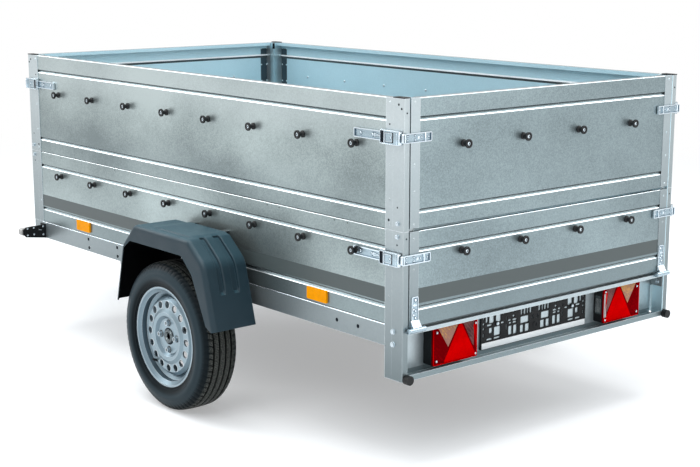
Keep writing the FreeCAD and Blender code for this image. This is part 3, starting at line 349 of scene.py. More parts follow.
def makeMouldGroup():
    # the fine skin of moulded plastic and rubber, with a little road dust low down
    tree, given, result = newGroup(
        "mouldedSkin", {"Colour": (0.02, 0.02, 0.02, 1), "Dust": (0.2, 0.19, 0.17, 1),
                        "Dusting": 0.1, "Size": 900.0}, ("Colour", "Height", "Roughness"))
    place = coords(tree)["Object"]
    patches = noise(place, 14.0, 5.0)
    low = times(ramp(axes(place)[2], 0.75, 0.0, 0.25, 1.0), given["Dusting"])
    mask = calc("MULTIPLY", ramp(patches, 0.35, 0.75), low, clamp=True)
    link(mixColour(mask, given["Colour"], given["Dust"]), result["Colour"])
    link(noise(place, given["Size"], 2.0), result["Height"])
    link(ramp(patches, 0.3, 0.7, 0.46, 0.6), result["Roughness"])
    return tree


def makeLowDarkGroup():
    # darkens the metal more and more towards the ground
    tree, given, result = newGroup("darkerTowardsGround", {"Colour": (0.5, 0.5, 0.5, 1), "Amount": 0.5},
                                   ("Colour",))
    height = axes(coords(tree)["Object"])[2]
    mask = calc("MULTIPLY", ramp(height, 1.08, 0.30), given["Amount"], clamp=True)
    link(mixColour(mask, given["Colour"], (0.125, 0.155, 0.165, 1)), result["Colour"])
    return tree


spangleGroup = makeSpangleGroup()
lowDarkGroup = makeLowDarkGroup()
edgeGroup = makeEdgeGroup()
bandGroup = makeBandGroup()
mouldGroup = makeMouldGroup()
print("shared effects ready")


def newMaterial(name, **constants):
    labels = {"metallic": "Metallic", "roughness": "Roughness", "specular": "Specular IOR Level",
              "colour": "Base Color"}
    material = bpy.data.materials.new(name)
    material.use_nodes = True
    shader = material.node_tree.nodes["Principled BSDF"]
    for key, value in constants.items():
        shader.inputs[labels[key]].default_value = value
    return material, material.node_tree, shader


def joinShader(shader, wires, height, strength, distance):
    # wires the finish and its bump to the shader
    bump = addNode(shader.id_data, "Bump", {"Height": height, "Strength": strength, "Distance": distance})
    for label, value in {**wires, "Normal": bump.outputs[0]}.items():
        link(value, shader.inputs[label])


galvanised = {
    "panelDark": (0.19, 0.23, 0.235, 1),
    "panelLight": (0.46, 0.54, 0.54, 1),
    # pale colour of the painted reflection high on the raised sides
    "panelSheenLight": (0.58, 0.65, 0.66, 1),
    "panelSize": 260.0,
    "panelLowDarkening": 0.14,
    # heights over which the painted reflection on the raised sides darkens low and pales high
    "sheenBands": ((body["seam"] + 0.12, body["seam"] + 0.29), (body["seam"] + 0.28, body["seam"] + 0.42)),
    "gateDark": (0.165, 0.21, 0.225, 1),
    "gateLight": (0.36, 0.45, 0.475, 1),
    # painted sky reflection on the faces inside the load space
    "innerSkyDark": (0.40, 0.60, 0.68, 1),
    "innerSkyLight": (0.60, 0.82, 0.9, 1),
    "recess": (0.035, 0.06, 0.075, 1),
    "postDark": (0.46, 0.52, 0.54, 1),
    "postLight": (0.60, 0.66, 0.68, 1),
    "stripDark": (0.385, 0.45, 0.475, 1),
    "stripLight": (0.51, 0.575, 0.60, 1),
    "stripLowDarkening": 0.97,
    "rearShade": (0.2, 0.25, 0.265, 1),   # painted shade on the rear faces of the beam's lip and, in part, of the posts
    "steepShade": (0.14, 0.2, 0.24, 1),        # painted shade on the steep rings of the wheels' discs
    "underside": (0.1, 0.13, 0.14, 1),
    "dipDark": (0.26, 0.29, 0.30, 1),
    "dipLight": (0.42, 0.455, 0.465, 1),
    # painted highlight colour of folded edges and of the grooves' shining lines
    "edge": (0.86, 0.92, 0.95, 1),
    "stripe": (0.064, 0.082, 0.083, 1),
    "stripeLow": base + 0.2425,
    "stripeHigh": base + 0.2906,
    "stripEdge": half - 0.0665,           # the gates' riveted end strips start here
    "recessWidth": 0.092,                 # painted shade: dark strip beside each post inside, from the corner faces
    "recessSoft": 0.0015,
    "recessTop": body["top"] - 0.028,
    "faceDepth": 0.0007,                  # the stripe is only on what lies this near the skin
    "lineDepth": 0.0019,                  # outer part of a groove's flank that takes the painted highlight
    "sideLine": 0.65,                     # share of it on the striped sides
    "lowShade": 0.60,                     # how far the sheet darkens under the stripe
}


def makeZincMaterial(name, dark, light, scale, grain, clouding, metallic, roughness, lowDarkening=0.0,
                     edgeWidth=0.0022, edgeAmount=0.85, innerLit=False, rearShade=None, slopes=False):
    material, tree, shader = newMaterial(name, metallic=metallic)
    coat = useGroup(tree, spangleGroup, Dark=dark, Light=light, Size=scale, Grain=grain,
                    Clouding=clouding)
    colour = coat["Colour"]
    if lowDarkening:
        colour = useGroup(tree, lowDarkGroup, Colour=colour, Amount=lowDarkening)["Colour"]
    if innerLit or rearShade or slopes:
        where = coords(tree)
        x, y, z = axes(where["Object"])
        nx, ny, _ = axes(where["Normal"])
    if innerLit:
        # painted sky reflection: faces that look into the load space take a paler, bluer colour
        inside = larger(below(times(minus(x, midLength), nx), -0.5), below(times(y, ny), -0.3))
        colour = mixColour(inside, colour, galvanised["innerSkyLight"])
    if rearShade:
        # painted shade: rear faces up to a height are darker than the rest
        upTo, share = rearShade
        colour = mixColour(times(below(z, upTo), below(nx, -0.9), share), colour,
                           galvanised["rearShade"])
    if slopes:
        # painted shade: steep rings of a pressed disc are darker than its flat ones
        colour = mixColour(ramp(unsigned(ny), 0.985, 0.75), colour, galvanised["steepShade"])
    edged = useGroup(tree, edgeGroup, Colour=colour, Edge=galvanised["edge"], Width=edgeWidth,
                     Amount=edgeAmount)["Colour"]
    rough = ramp(coat["Shade"], 0.0, 1.0, roughness + 0.06, roughness - 0.06)
    joinShader(shader, {"Base Color": edged, "Roughness": rough}, coat["Height"], 0.12, 0.0004)
    return material


def makePanelMaterial(name, along, grain, clouding, striped):
    # folded sheet: mottled outside; smoother inside, with a painted sky reflection that makes it paler and
    # bluer
    material, tree, shader = newMaterial(name)
    onSide = along == "side"
    look = "panel" if onSide else "gate"
    where = coords(tree)
    x, y, z = axes(where["Object"])
    nx, ny, nz = axes(where["Normal"])
    outer = useGroup(tree, spangleGroup, Dark=galvanised[look + "Dark"], Grain=grain,
                     Light=galvanised[look + "Light"], Size=galvanised["panelSize"], Clouding=clouding)
    inner = useGroup(tree, spangleGroup, Dark=galvanised["innerSkyDark"], Grain=grain * 0.4,
                     Light=galvanised["innerSkyLight"], Size=galvanised["panelSize"], Clouding=0.3)
    lengthways, across = minus(x, midLength), unsigned(y)
    if onSide:
        depth, lean, reach = y, ny, skin
        ends, corner = unsigned(lengthways), midLength - rear
    else:
        depth, lean, reach = lengthways, nx, midLength - gateSkin
        ends, corner = across, half
    outside = above(times(depth, lean), -0.05)
    # painted shade: a dark strip beside each post on the inner faces
    corner, soft = corner - galvanised["recessWidth"], galvanised["recessSoft"]
    recess = times(ramp(ends, corner - soft, corner + soft), below(z, galvanised["recessTop"]))
    innerWithPostShade = mixColour(recess, inner["Colour"], galvanised["recess"])
    lowDarkAndSheen = useGroup(tree, lowDarkGroup, Colour=outer["Colour"], Amount=galvanised["panelLowDarkening"])["Colour"]
    if onSide and not striped:
        # painted reflection: the raised sides are darker towards their lower groove and paler towards their
        # top
        level = plus(z, times(noise(where["Object"], 3.0, 2.0), 0.16))
        (low, lowEnd), (highStart, high) = galvanised["sheenBands"]
        lowDarkAndSheen = mixColour(times(ramp(level, lowEnd, low, smooth=True), 0.34), lowDarkAndSheen,
                           galvanised["gateDark"])
        lowDarkAndSheen = mixColour(times(ramp(level, highStart, high, smooth=True), 0.4), lowDarkAndSheen,
                           galvanised["panelSheenLight"])
    colour = mixColour(outside, innerWithPostShade, lowDarkAndSheen)
    rough = ramp(outer["Shade"], 0.0, 1.0, 0.42, 0.3)
    metal = ramp(outside, 0.0, 1.0, 0.45, 0.84)
    if not onSide:
        strip = useGroup(tree, spangleGroup, Dark=galvanised["stripDark"], Size=160.0, Grain=0.25,
                         Light=galvanised["stripLight"], Clouding=0.2)["Colour"]
        strip = useGroup(tree, lowDarkGroup, Colour=strip, Amount=galvanised["stripLowDarkening"])["Colour"]
        colour = mixColour(times(above(across, galvanised["stripEdge"]), outside), colour, strip)
    if striped:
        band = useGroup(tree, bandGroup, Low=galvanised["stripeLow"],
                        High=galvanised["stripeHigh"])["Mask"]
        band = times(band, outside, above(unsigned(depth), reach - galvanised["faceDepth"]))
        if not onSide:
            band = times(band, below(across, galvanised["stripEdge"]))
        colour = mixColour(band, colour, galvanised["stripe"])
        under = times(below(z, galvanised["stripeLow"]), outside, galvanised["lowShade"])
        colour = mixColour(under, colour, galvanised["gateDark"])
        rough = addNode(tree, "Mix", {0: band, 2: rough, 3: 0.42}).outputs[0]
        metal = times(metal, minus(1.0, band))
    # flanks of the pressed grooves that face up: a painted highlight as a thin line on their outer part,
    # painted shade on the rest
    lineDepth = galvanised["lineDepth"] * (galvanised["sideLine"] if striped and onSide else 1.0)
    thin = larger(above(unsigned(depth), reach - lineDepth), minus(1.0, outside))
    flank = mixColour(thin, galvanised["gateDark"], galvanised["edge"])
    upward = times(ramp(nz, 0.3, 0.5), larger(below(nz, 0.9), above(z, body["top"] - 0.01)))
    colour = mixColour(upward, colour, flank)
    # painted shade: faces that look down are darker
    colour = mixColour(ramp(nz, -0.3, -0.5), colour, galvanised["underside"])
    edged = useGroup(tree, edgeGroup, Colour=colour, Edge=galvanised["edge"], Width=0.0016,
                     Amount=0.7)["Colour"]
    joinShader(shader, {"Base Color": edged, "Roughness": rough, "Metallic": metal}, outer["Height"],
               0.1, 0.0003)
    return material


def makePlasticMaterial(name, colour, dust, dusting, specular=0.4, edge=None, edgeAmount=0.6,
                        edgeWidth=0.003, skySheen=None):
    material, tree, shader = newMaterial(name, specular=specular)
    moulded = useGroup(tree, mouldGroup, Colour=colour, Dust=dust, Dusting=dusting, Size=900.0)
    final = moulded["Colour"]
    if skySheen:
        # painted sky reflection: faces that look at the sky are paler
        final = mixColour(ramp(axes(coords(tree)["Normal"])[2], 0.35, 0.95), final, skySheen)
    # painted highlight along the edges
    if edge:
        final = useGroup(tree, edgeGroup, Colour=final, Edge=edge, Width=edgeWidth,
                         Amount=edgeAmount)["Colour"]
    joinShader(shader, {"Base Color": final, "Roughness": moulded["Roughness"]}, moulded["Height"],
               0.25, 0.0004)
    return material


def turnedCells(tree, place, turn, scale, randomness, **settings):
    turned = addNode(tree, "Mapping", {"Vector": place, "Rotation": turn}).outputs[0]
    return addNode(tree, "TexVoronoi", {"Vector": turned, "Scale": scale, "Randomness": randomness},
                   **settings).outputs["Distance"]


def makeLensMaterial(name, colour, lattice, deep=None, specular=0.04, contrast=0.5):
    # coloured clear plastic with a fine moulded lattice behind its face
    material, tree, shader = newMaterial(name, roughness=0.24, specular=specular)
    place = coords(tree)["Object"]
    depth = turnedCells(tree, place, (0.78, 0.0, 0.78), lattice, 0.35)
    deep = deep or tuple(value * 0.55 for value in colour[:3]) + (1,)
    tone = calc("ADD", ramp(depth, 0.15, 0.7, 0.0, contrast),
                ramp(noise(place, 24.0, 3.0), 0.4, 0.7, 0.0, contrast), clamp=True)
    joinShader(shader, {"Base Color": mixColour(tone, colour, deep)}, depth, 0.3, 0.001)
    return material


def makePlywoodMaterial():
    # brown film on plywood with its pressed anti-slip mesh
    material, tree, shader = newMaterial("plywoodFilm")
    place = coords(tree)["Object"]
    mesh = turnedCells(tree, place, (0.0, 0.0, 0.785), 190.0, 0.0, feature="DISTANCE_TO_EDGE")
    wear = noise(place, 9.0, 5.0)
    tone = mixColour(wear, (0.035, 0.022, 0.016, 1), (0.075, 0.05, 0.038, 1))
    rough = ramp(wear, 0.3, 0.7, 0.38, 0.55)
    joinShader(shader, {"Base Color": tone, "Roughness": rough}, mesh, 0.4, 0.0008)
    return material


# a panel says grain, clouding and stripe; zinc says its dark and light colour, crystal size, grain,
# clouding, metallic and roughness; plastic says its colour, dust and dusting
sidePanelLook = makePanelMaterial("sidePanel", "side", 0.5, 0.62, False)
sideStripeLook = makePanelMaterial("sidePanelStriped", "side", 0.4, 0.4, True)
gateLook = makePanelMaterial("gatePanel", "gate", 0.55, 0.34, False)
gateStripeLook = makePanelMaterial("gatePanelStriped", "gate", 0.5, 0.34, True)
postLook = makeZincMaterial("postZinc", galvanised["postDark"], galvanised["postLight"], 160.0,
                            0.25, 0.3, 0.8, 0.36, lowDarkening=0.95, edgeWidth=0.0034, innerLit=True,
                            rearShade=(body["top"] + 1.0, 0.3))
railLook = makeZincMaterial("railZinc", galvanised["postDark"], galvanised["postLight"], 160.0,
                            0.35, 0.4, 0.68, 0.42, lowDarkening=0.84)
beamLook = makeZincMaterial("beamZinc", (0.4, 0.47, 0.5, 1), (0.56, 0.64, 0.67, 1), 160.0, 0.35, 0.3,
                            0.7, 0.38, lowDarkening=0.16, rearShade=(base + 0.0181, 1.0))
dipLook = makeZincMaterial("hotDipZinc", galvanised["dipDark"], galvanised["dipLight"],
                           60.0, 0.6, 0.4, 0.75, 0.5)
brightLook = makeZincMaterial("brightZinc", (0.56, 0.66, 0.73, 1), (0.76, 0.84, 0.9, 1), 90.0, 0.3,
                              0.2, 0.92, 0.2, edgeWidth=0.0015, edgeAmount=1.0)
zincLook = makeZincMaterial("platedZinc", (0.3, 0.36, 0.4, 1), (0.48, 0.55, 0.6, 1), 110.0, 0.4,
                            0.4, 0.88, 0.3, lowDarkening=0.15, edgeWidth=0.0018, edgeAmount=0.9)
# painted shade: the mudguard brackets are drawn near black, as they lie in the guards' shade
braceShadeLook = makeZincMaterial("shadedSteel", (0.035, 0.045, 0.05, 1), (0.07, 0.085, 0.09, 1), 110.0,
                             0.4, 0.4, 0.7, 0.5, edgeWidth=0.0012, edgeAmount=0.1)
# painted shade: darker copies of the zinc for pressed floors, hinge barrels and pins, and slopes
shadeLook = makeZincMaterial("shadedZinc", (0.3, 0.4, 0.46, 1), (0.46, 0.56, 0.62, 1), 90.0, 0.3,
                             0.3, 0.85, 0.28, edgeWidth=0.0006, edgeAmount=0.3)
slopeShadeLook = makeZincMaterial("slopeShadeZinc", (0.06, 0.11, 0.15, 1), (0.13, 0.2, 0.26, 1), 90.0, 0.3,
                             0.2, 0.6, 0.35, edgeWidth=0.0004, edgeAmount=0.1)
hubLook = makeZincMaterial("hubZinc", (0.05, 0.06, 0.065, 1), (0.17, 0.2, 0.21, 1), 240.0, 0.8,
                           0.2, 0.9, 0.3, edgeWidth=0.0009, edgeAmount=0.7)
boltLook = makeZincMaterial("boltZinc", (0.4, 0.47, 0.52, 1), (0.62, 0.7, 0.75, 1), 90.0, 0.3,
                            0.2, 0.9, 0.28, edgeWidth=0.0008)
wheelLook = makeZincMaterial("wheelSilver", (0.25, 0.325, 0.37, 1), (0.3, 0.385, 0.43, 1), 900.0,
                             0.2, 0.1, 0.68, 0.36, edgeWidth=0.0026, edgeAmount=0.8, slopes=True)
guardLook = makePlasticMaterial("guardPlastic", (0.003, 0.019, 0.03, 1), (0.05, 0.1, 0.12, 1), 0.1,
                                specular=0.4, edge=(0.07, 0.125, 0.15, 1), edgeAmount=0.7,
                                edgeWidth=0.0022, skySheen=(0.012, 0.05, 0.07, 1))
blackLook = makePlasticMaterial("blackPlastic", (0.003, 0.004, 0.005, 1), (0.1, 0.1, 0.1, 1), 0.03,
                                specular=0.22, edge=(0.05, 0.06, 0.07, 1), edgeAmount=0.5,
                                edgeWidth=0.0012)
guardShadeLook = makePlasticMaterial("guardInsideShade", (0.0015, 0.002, 0.0025, 1),
                                     (0.03, 0.03, 0.03, 1), 0.05, specular=0.05)
# painted shade for holes, gaps, notches and recesses
shadowLook = makePlasticMaterial("shadow", (0.004, 0.008, 0.013, 1), (0.1, 0.1, 0.1, 1), 0.02,
                                 specular=0.1)
hookLook = makePlasticMaterial("hookPlastic", (0.003, 0.004, 0.005, 1), (0.1, 0.1, 0.1, 1), 0.02,
                               specular=0.35, edge=(0.07, 0.09, 0.1, 1), edgeAmount=0.4,
                               edgeWidth=0.0012)
rubberLook = makePlasticMaterial("bufferRubber", (0.006, 0.007, 0.008, 1), (0.12, 0.11, 0.1, 1), 0.1,
                                 specular=0.25, edge=(0.05, 0.055, 0.06, 1), edgeAmount=0.4)
redLook = makeLensMaterial("redReflector", (0.68, 0.0, 0.0005, 1), 260.0, specular=0.0,
                           contrast=0.35)
redLensLook = makeLensMaterial("redLens", (0.27, 0.0, 0.003, 1), 120.0, specular=0.0,
                               contrast=1.0)
maroonLook = makeLensMaterial("maroonLens", (0.22, 0.085, 0.08, 1), 150.0, (0.06, 0.022, 0.024, 1))
amberLook = makeLensMaterial("amberLens", (0.7, 0.37, 0.09, 1), 150.0, (0.34, 0.17, 0.13, 1),
                             contrast=0.8)
orangeLook = makeLensMaterial("orangeReflector", (1.0, 0.36, 0.0, 1), 260.0, contrast=0.25)
clearLook = makeLensMaterial("clearLens", (0.46, 0.47, 0.46, 1), 160.0, (0.26, 0.24, 0.23, 1),
                             specular=0.5)
glassLook = makeLensMaterial("smokedLens", (0.08, 0.1, 0.1, 1), 90.0, (0.02, 0.03, 0.032, 1),
                             specular=0.5)
plywoodLook = makePlywoodMaterial()
hubPlasticLook = makePlasticMaterial("hubPlastic", (0.12, 0.125, 0.13, 1), (0.2, 0.19, 0.17, 1), 0.1,
                                     specular=0.3, edge=(0.2, 0.21, 0.22, 1), edgeAmount=0.4)
stripLook = makePlasticMaterial("whiteStrip", (0.94, 0.96, 0.97, 1), (0.5, 0.48, 0.44, 1), 0.06)
pressedLooks = (brightLook, shadeLook, slopeShadeLook)   # rim of a pressed piece in bright zinc, its floor and slope in painted shade
print("finishes ready")

nodeLooks = {
    sidePanelLook: ("side_panels_upper",),
    sideStripeLook: ("side_panels_lower",),
    gateLook: ("tailgate_upper_panel", "front_gate_panel", "front_panel_lower"),
    gateStripeLook: ("tailgate_lower_panel",),
    postLook: ("posts_lower", "posts_upper"),
    railLook: ("side_rails", "cross_members"),
    braceShadeLook: ("mudguard_brackets",),
    beamLook: ("rear_beam",),
    dipLook: ("drawbar_arms", "drawbar_brackets", "axle_tube", "swing_arms", "jockey_clamp"),
    brightLook: ("latch_bases", "hinge_brackets", "tailgate_lower_hinges", "tailgate_lower_straps",
                 "tailgate_upper_straps", "front_gate_straps"),
    zincLook: ("coupling_head", "jockey_tube", "jockey_leg", "jockey_fork", "hub_left", "hub_right"),
    blackLook: ("post_caps", "tail_lamp_housings", "plate_holder", "position_lamp_brackets",
                "coupling_handle"),
    hookLook: ("side_hooks", "tailgate_lower_hooks", "tailgate_upper_hooks", "front_gate_hooks"),
    rubberLook: ("rear_buffers", "jockey_wheel", "tyre_left", "tyre_right"),
    guardLook: ("mudguards",),
    wheelLook: ("rim_left", "rim_right"),
    redLensLook: ("tail_lamp_lenses",),
    orangeLook: ("side_reflectors",),
    clearLook: ("position_lamps",),
    plywoodLook: ("floor_board",),
}
for look, names in nodeLooks.items():
    for name in names:
        nodes[name].data.materials.clear()
        nodes[name].data.materials.append(look)
print("CAD pieces painted")


# Load hooks

hooks = {
    "first": 0.219,
    "pitch": 0.270,
    "count": 8,
    "upper": body["seam"] + 0.252,
    "lower": body["deck"] + 0.214,
    "gatePlaces": (0.135, 0.405),
    "profile": ((0.0, 0.0003), (0.0118, 0.0003), (0.0118, 0.0038), (0.0104, 0.0050), (0.0080, 0.0068),
                (0.0072, 0.0110), (0.0074, 0.0160), (0.0096, 0.0184), (0.0138, 0.0200),
                (0.0143, 0.0208), (0.0143, 0.0258), (0.0134, 0.0270), (0.0098, 0.0270),
                (0.0082, 0.0248), (0.0, 0.0248)),
    "boltRadius": 0.0056,
    "nutRadius": 0.0055,
}


def hookPlaces(kind):
    if kind == "side":
        return [(Vector((rear + hooks["first"] + hooks["pitch"] * index, skin, height)), toLeft)
                for height in (hooks["upper"], hooks["lower"]) for index in range(hooks["count"])]
    height = hooks["lower"] if kind == "rearLower" else hooks["upper"]
    x, out = (2 * midLength - gateSkin, -toRear) if kind == "front" else (gateSkin, toRear)
    return [(Vector((x, place, height)), out) for place in hooks["gatePlaces"]]


def makeHooks(name, kind, rider, replaced):
    spools, bolts = newMeshes(2)
    radius = hooks["boltRadius"]
    for foot, out in hookPlaces(kind):
        addSpin(spools, hooks["profile"], foot, out, 20)
        addSpin(bolts, ((0, 0.0240), (radius, 0.0240), (radius, 0.0254), (0.0036, 0.0262),
                        (0.0026, 0.0262), (0.0024, 0.0242)), foot, out, 12)
        addDome(bolts, foot - out * (body["sheet"] + 0.0001), -out, hooks["nutRadius"], 0.003)
    copyMirrored((spools, bolts), 1)
    finishPiece(spools, name, hookLook, rider, (replaced,))
    finishPiece(bolts, name + "Bolts", boltLook, rider)


makeHooks("sideHooks", "side", "chassis", "side_hooks")
makeHooks("tailgateLowerHooks", "rearLower", "tailgate_lower", "tailgate_lower_hooks")
makeHooks("tailgateUpperHooks", "rearUpper", "tailgate_upper", "tailgate_upper_hooks")
makeHooks("frontGateHooks", "front", "front_gate", "front_gate_hooks")
print("hooks ready")


# Rivets, bolts and small holes of the body

fasteners = {
    "rivet": (0.0042, 0.0017),                    # radius and rise
    "innerRivet": (0.0036, 0.0016),
    "sideLine": 0.063,                            # from the rear face
    "sideHeights": (0.864, 0.675, 0.568, 0.492, 0.264),  # above the base
    "bolt": (0.0125, 0.006),
    "lowBolt": (0.014375, 0.006),
    "seamBolts": ((0.024, 0.498), (0.025, 0.457)),
    "lowBolts": ((0.041, 0.156), (0.041, 0.115)),
    "holes": ((0.066, 0.504, 0.0042), (0.027, 0.431, 0.0028), (0.027, 0.547, 0.0028),
              (0.064, 0.798, 0.0028), (0.024, 0.860, 0.0036), (0.011, 0.848, 0.0036)),
    "railBolts": ((1.904, 0.154), (1.900, 0.119), (1.680, 0.155), (1.678, 0.120)),
    "boltRing": ((0.0066, 0.0), (0.0080, 0.0), (0.0078, 0.0003), (0.0066, 0.0003)),
    "railHoles": ((0.211, 0.138), (0.316, 0.138)),
    "holeShadeRing": ((0.0050, 0.0), (0.0066, 0.0), (0.0066, 0.0003), (0.0050, 0.0003)),
    "foldRadius": 0.0022,                         # the rail's bend along its top edge, drawn in bright zinc as a painted highlight line
    "foldEnds": 0.070,
    "seamHoles": (2.110, 1.681, 0.686, 0.620, 0.329, 0.264),
    "stripLine": 0.0445,                          # from the side face to the end strips' rivets
    "stripUpper": (0.866, 0.677, 0.594, 0.493),
    "stripLower": (0.448, 0.352),
    "cornerHoles": ((0.012, 0.835), (0.014, 0.452)),
    "innerLines": (0.056, 0.088),                 # inner rivets beside the posts
    "innerUpper": (1.160, 1.083, 1.006, 0.929, 0.852),
    "innerLower": (0.735, 0.655, 0.575),
}


def makeFasteners():
    rivets, bolts, dark, folds = newMeshes(4)

    def spot(x, z, y=half):
        return Vector((rear + x, y, base + z))

    for height in fasteners["sideHeights"]:
        addDome(rivets, spot(fasteners["sideLine"], height), toLeft, *fasteners["rivet"])
    for x, z in fasteners["seamBolts"]:
        addBolt(bolts, spot(x, z), toLeft, *fasteners["bolt"])
    # painted shade: dark discs stand for the small holes
    for x, z, radius in fasteners["holes"]:
        addRod(dark, spot(x, z, half - 0.001), spot(x, z, half + 0.0003), radius, 16)
    for y, z in fasteners["cornerHoles"]:
        addRod(dark, spot(0.001, z, half - y), spot(-0.0003, z, half - y), 0.0028, 14)
    copyMirrored((rivets, bolts, dark), 0, midLength)
    for height in fasteners["innerUpper"] + fasteners["innerLower"]:
        for line in fasteners["innerLines"]:
            for x in (rear + line, front - line):
                addDome(rivets, (x, skin - body["sheet"], height), -toLeft, *fasteners["innerRivet"])
    for x, z in fasteners["lowBolts"]:
        addBolt(bolts, spot(x, z), toLeft, *fasteners["lowBolt"])
    for x, z in fasteners["railBolts"]:
        foot = spot(x, z, skin)
        addSpin(rivets, fasteners["boltRing"], foot, toLeft, 20)
        addRod(dark, foot, foot + toLeft * 0.0012, 0.0068, 16)
    for x, z in fasteners["railHoles"]:
        # painted shade: a dark disc inside each hole and a dark ring round it
        foot = spot(x, z, skin)
        addRod(dark, foot - toLeft * 0.0040, foot - toLeft * 0.0001, 0.0054, 20)
        addSpin(dark, fasteners["holeShadeRing"], foot, toLeft, 20)
    radius, ends = fasteners["foldRadius"], fasteners["foldEnds"]
    y, z = skin - radius * 0.6, body["deck"] - 0.0006 - radius
    addRod(folds, (rear + ends, y, z), (front - ends, y, z), radius, 16)
    # painted shade: dark discs stand for the holes along the seam
    for x in fasteners["seamHoles"]:
        z = body["seam"] - 0.009
        addRod(dark, (rear + x, skin - 0.001, z), (rear + x, skin + 0.0002, z), 0.0022, 12)
    copyMirrored((folds, rivets, bolts, dark), 1)
    finishPiece(rivets, "bodyRivets", postLook)
    finishPiece(bolts, "bodyBolts", boltLook)
    finishPiece(dark, "bodyHoles", shadowLook)
    finishPiece(folds, "railFolds", brightLook)


def makeStripRivets(name, rider, part, atFront=False):
    rivets = bmesh.new()
    for height in fasteners["inner" + part]:
        for line in fasteners["innerLines"]:
            addDome(rivets, (gateSkin + body["sheet"], half - line, height), -toRear,
                    *fasteners["innerRivet"])
    for height in fasteners["strip" + part]:
        addDome(rivets, (rear, half - fasteners["stripLine"], base + height), toRear,
                *fasteners["rivet"])
    copyMirrored((rivets,), 1)
    if atFront:
        moveToFront(rivets)
    finishPiece(rivets, name, postLook, rider)


makeFasteners()
makeStripRivets("tailgateUpperRivets", "tailgate_upper", "Upper")
makeStripRivets("tailgateLowerRivets", "tailgate_lower", "Lower")
makeStripRivets("frontGateRivets", "front_gate", "Upper", atFront=True)
makeStripRivets("frontPanelRivets", "chassis", "Lower", atFront=True)
print("rivets and bolts ready")


# Toggle latches and their straps

latch = {
    "upper": body["seam"] + 0.286,
    "lower": body["deck"] + 0.214,
    "halfBase": 0.015,
    "baseStart": 0.082,
    "baseEnd": 0.224,
    "baseRise": 0.0072,
    "lip": 0.0034,             # width of the raised rim
    "rivet": (0.0046, 0.0026),  # radius and rise
    "plateRivet": (0.0038, 0.0018),
    "strapRivet": (0.0032, 0.0022),
    "baseDepth": 0.0046,       # of the sunk floor
    "rivets": (0.1935, 0.138),
    "halfLever": 0.0215,
    "leverStart": 0.004,
    "leverEnd": 0.092,
    "leverLow": 0.0045,
    "leverHigh": 0.0160,
    "wall": 0.0028,
    "window": 0.0745,
    "arrow": 0.114,
    "arrowSize": (0.022, 0.018, 0.0085),   # tail, tip and half width
    "arrowSteps": ((0.0, 0.0009, 2), (0.0022, 0.0018, 0), (0.0046, 0.0024, 1)),  # inset, rise, and look: 0 bright rim, 1 painted shade, 2 deeper painted shade
    "innerPlate": (0.036, 0.069),
    "strapEnd": 0.108,
    "strapWrap": 0.0115,
    "strapRise": 0.0085,
    "strapDepth": 0.0042,
    "strapRivets": ((0.011, 0.0065), (0.041, 0.0065), (0.011, -0.0065), (0.041, -0.0065),
                    (0.068, 0.0), (0.097, 0.0)),
    "strapBolt": 0.0535,
    "strapGroove": 0.081,
}


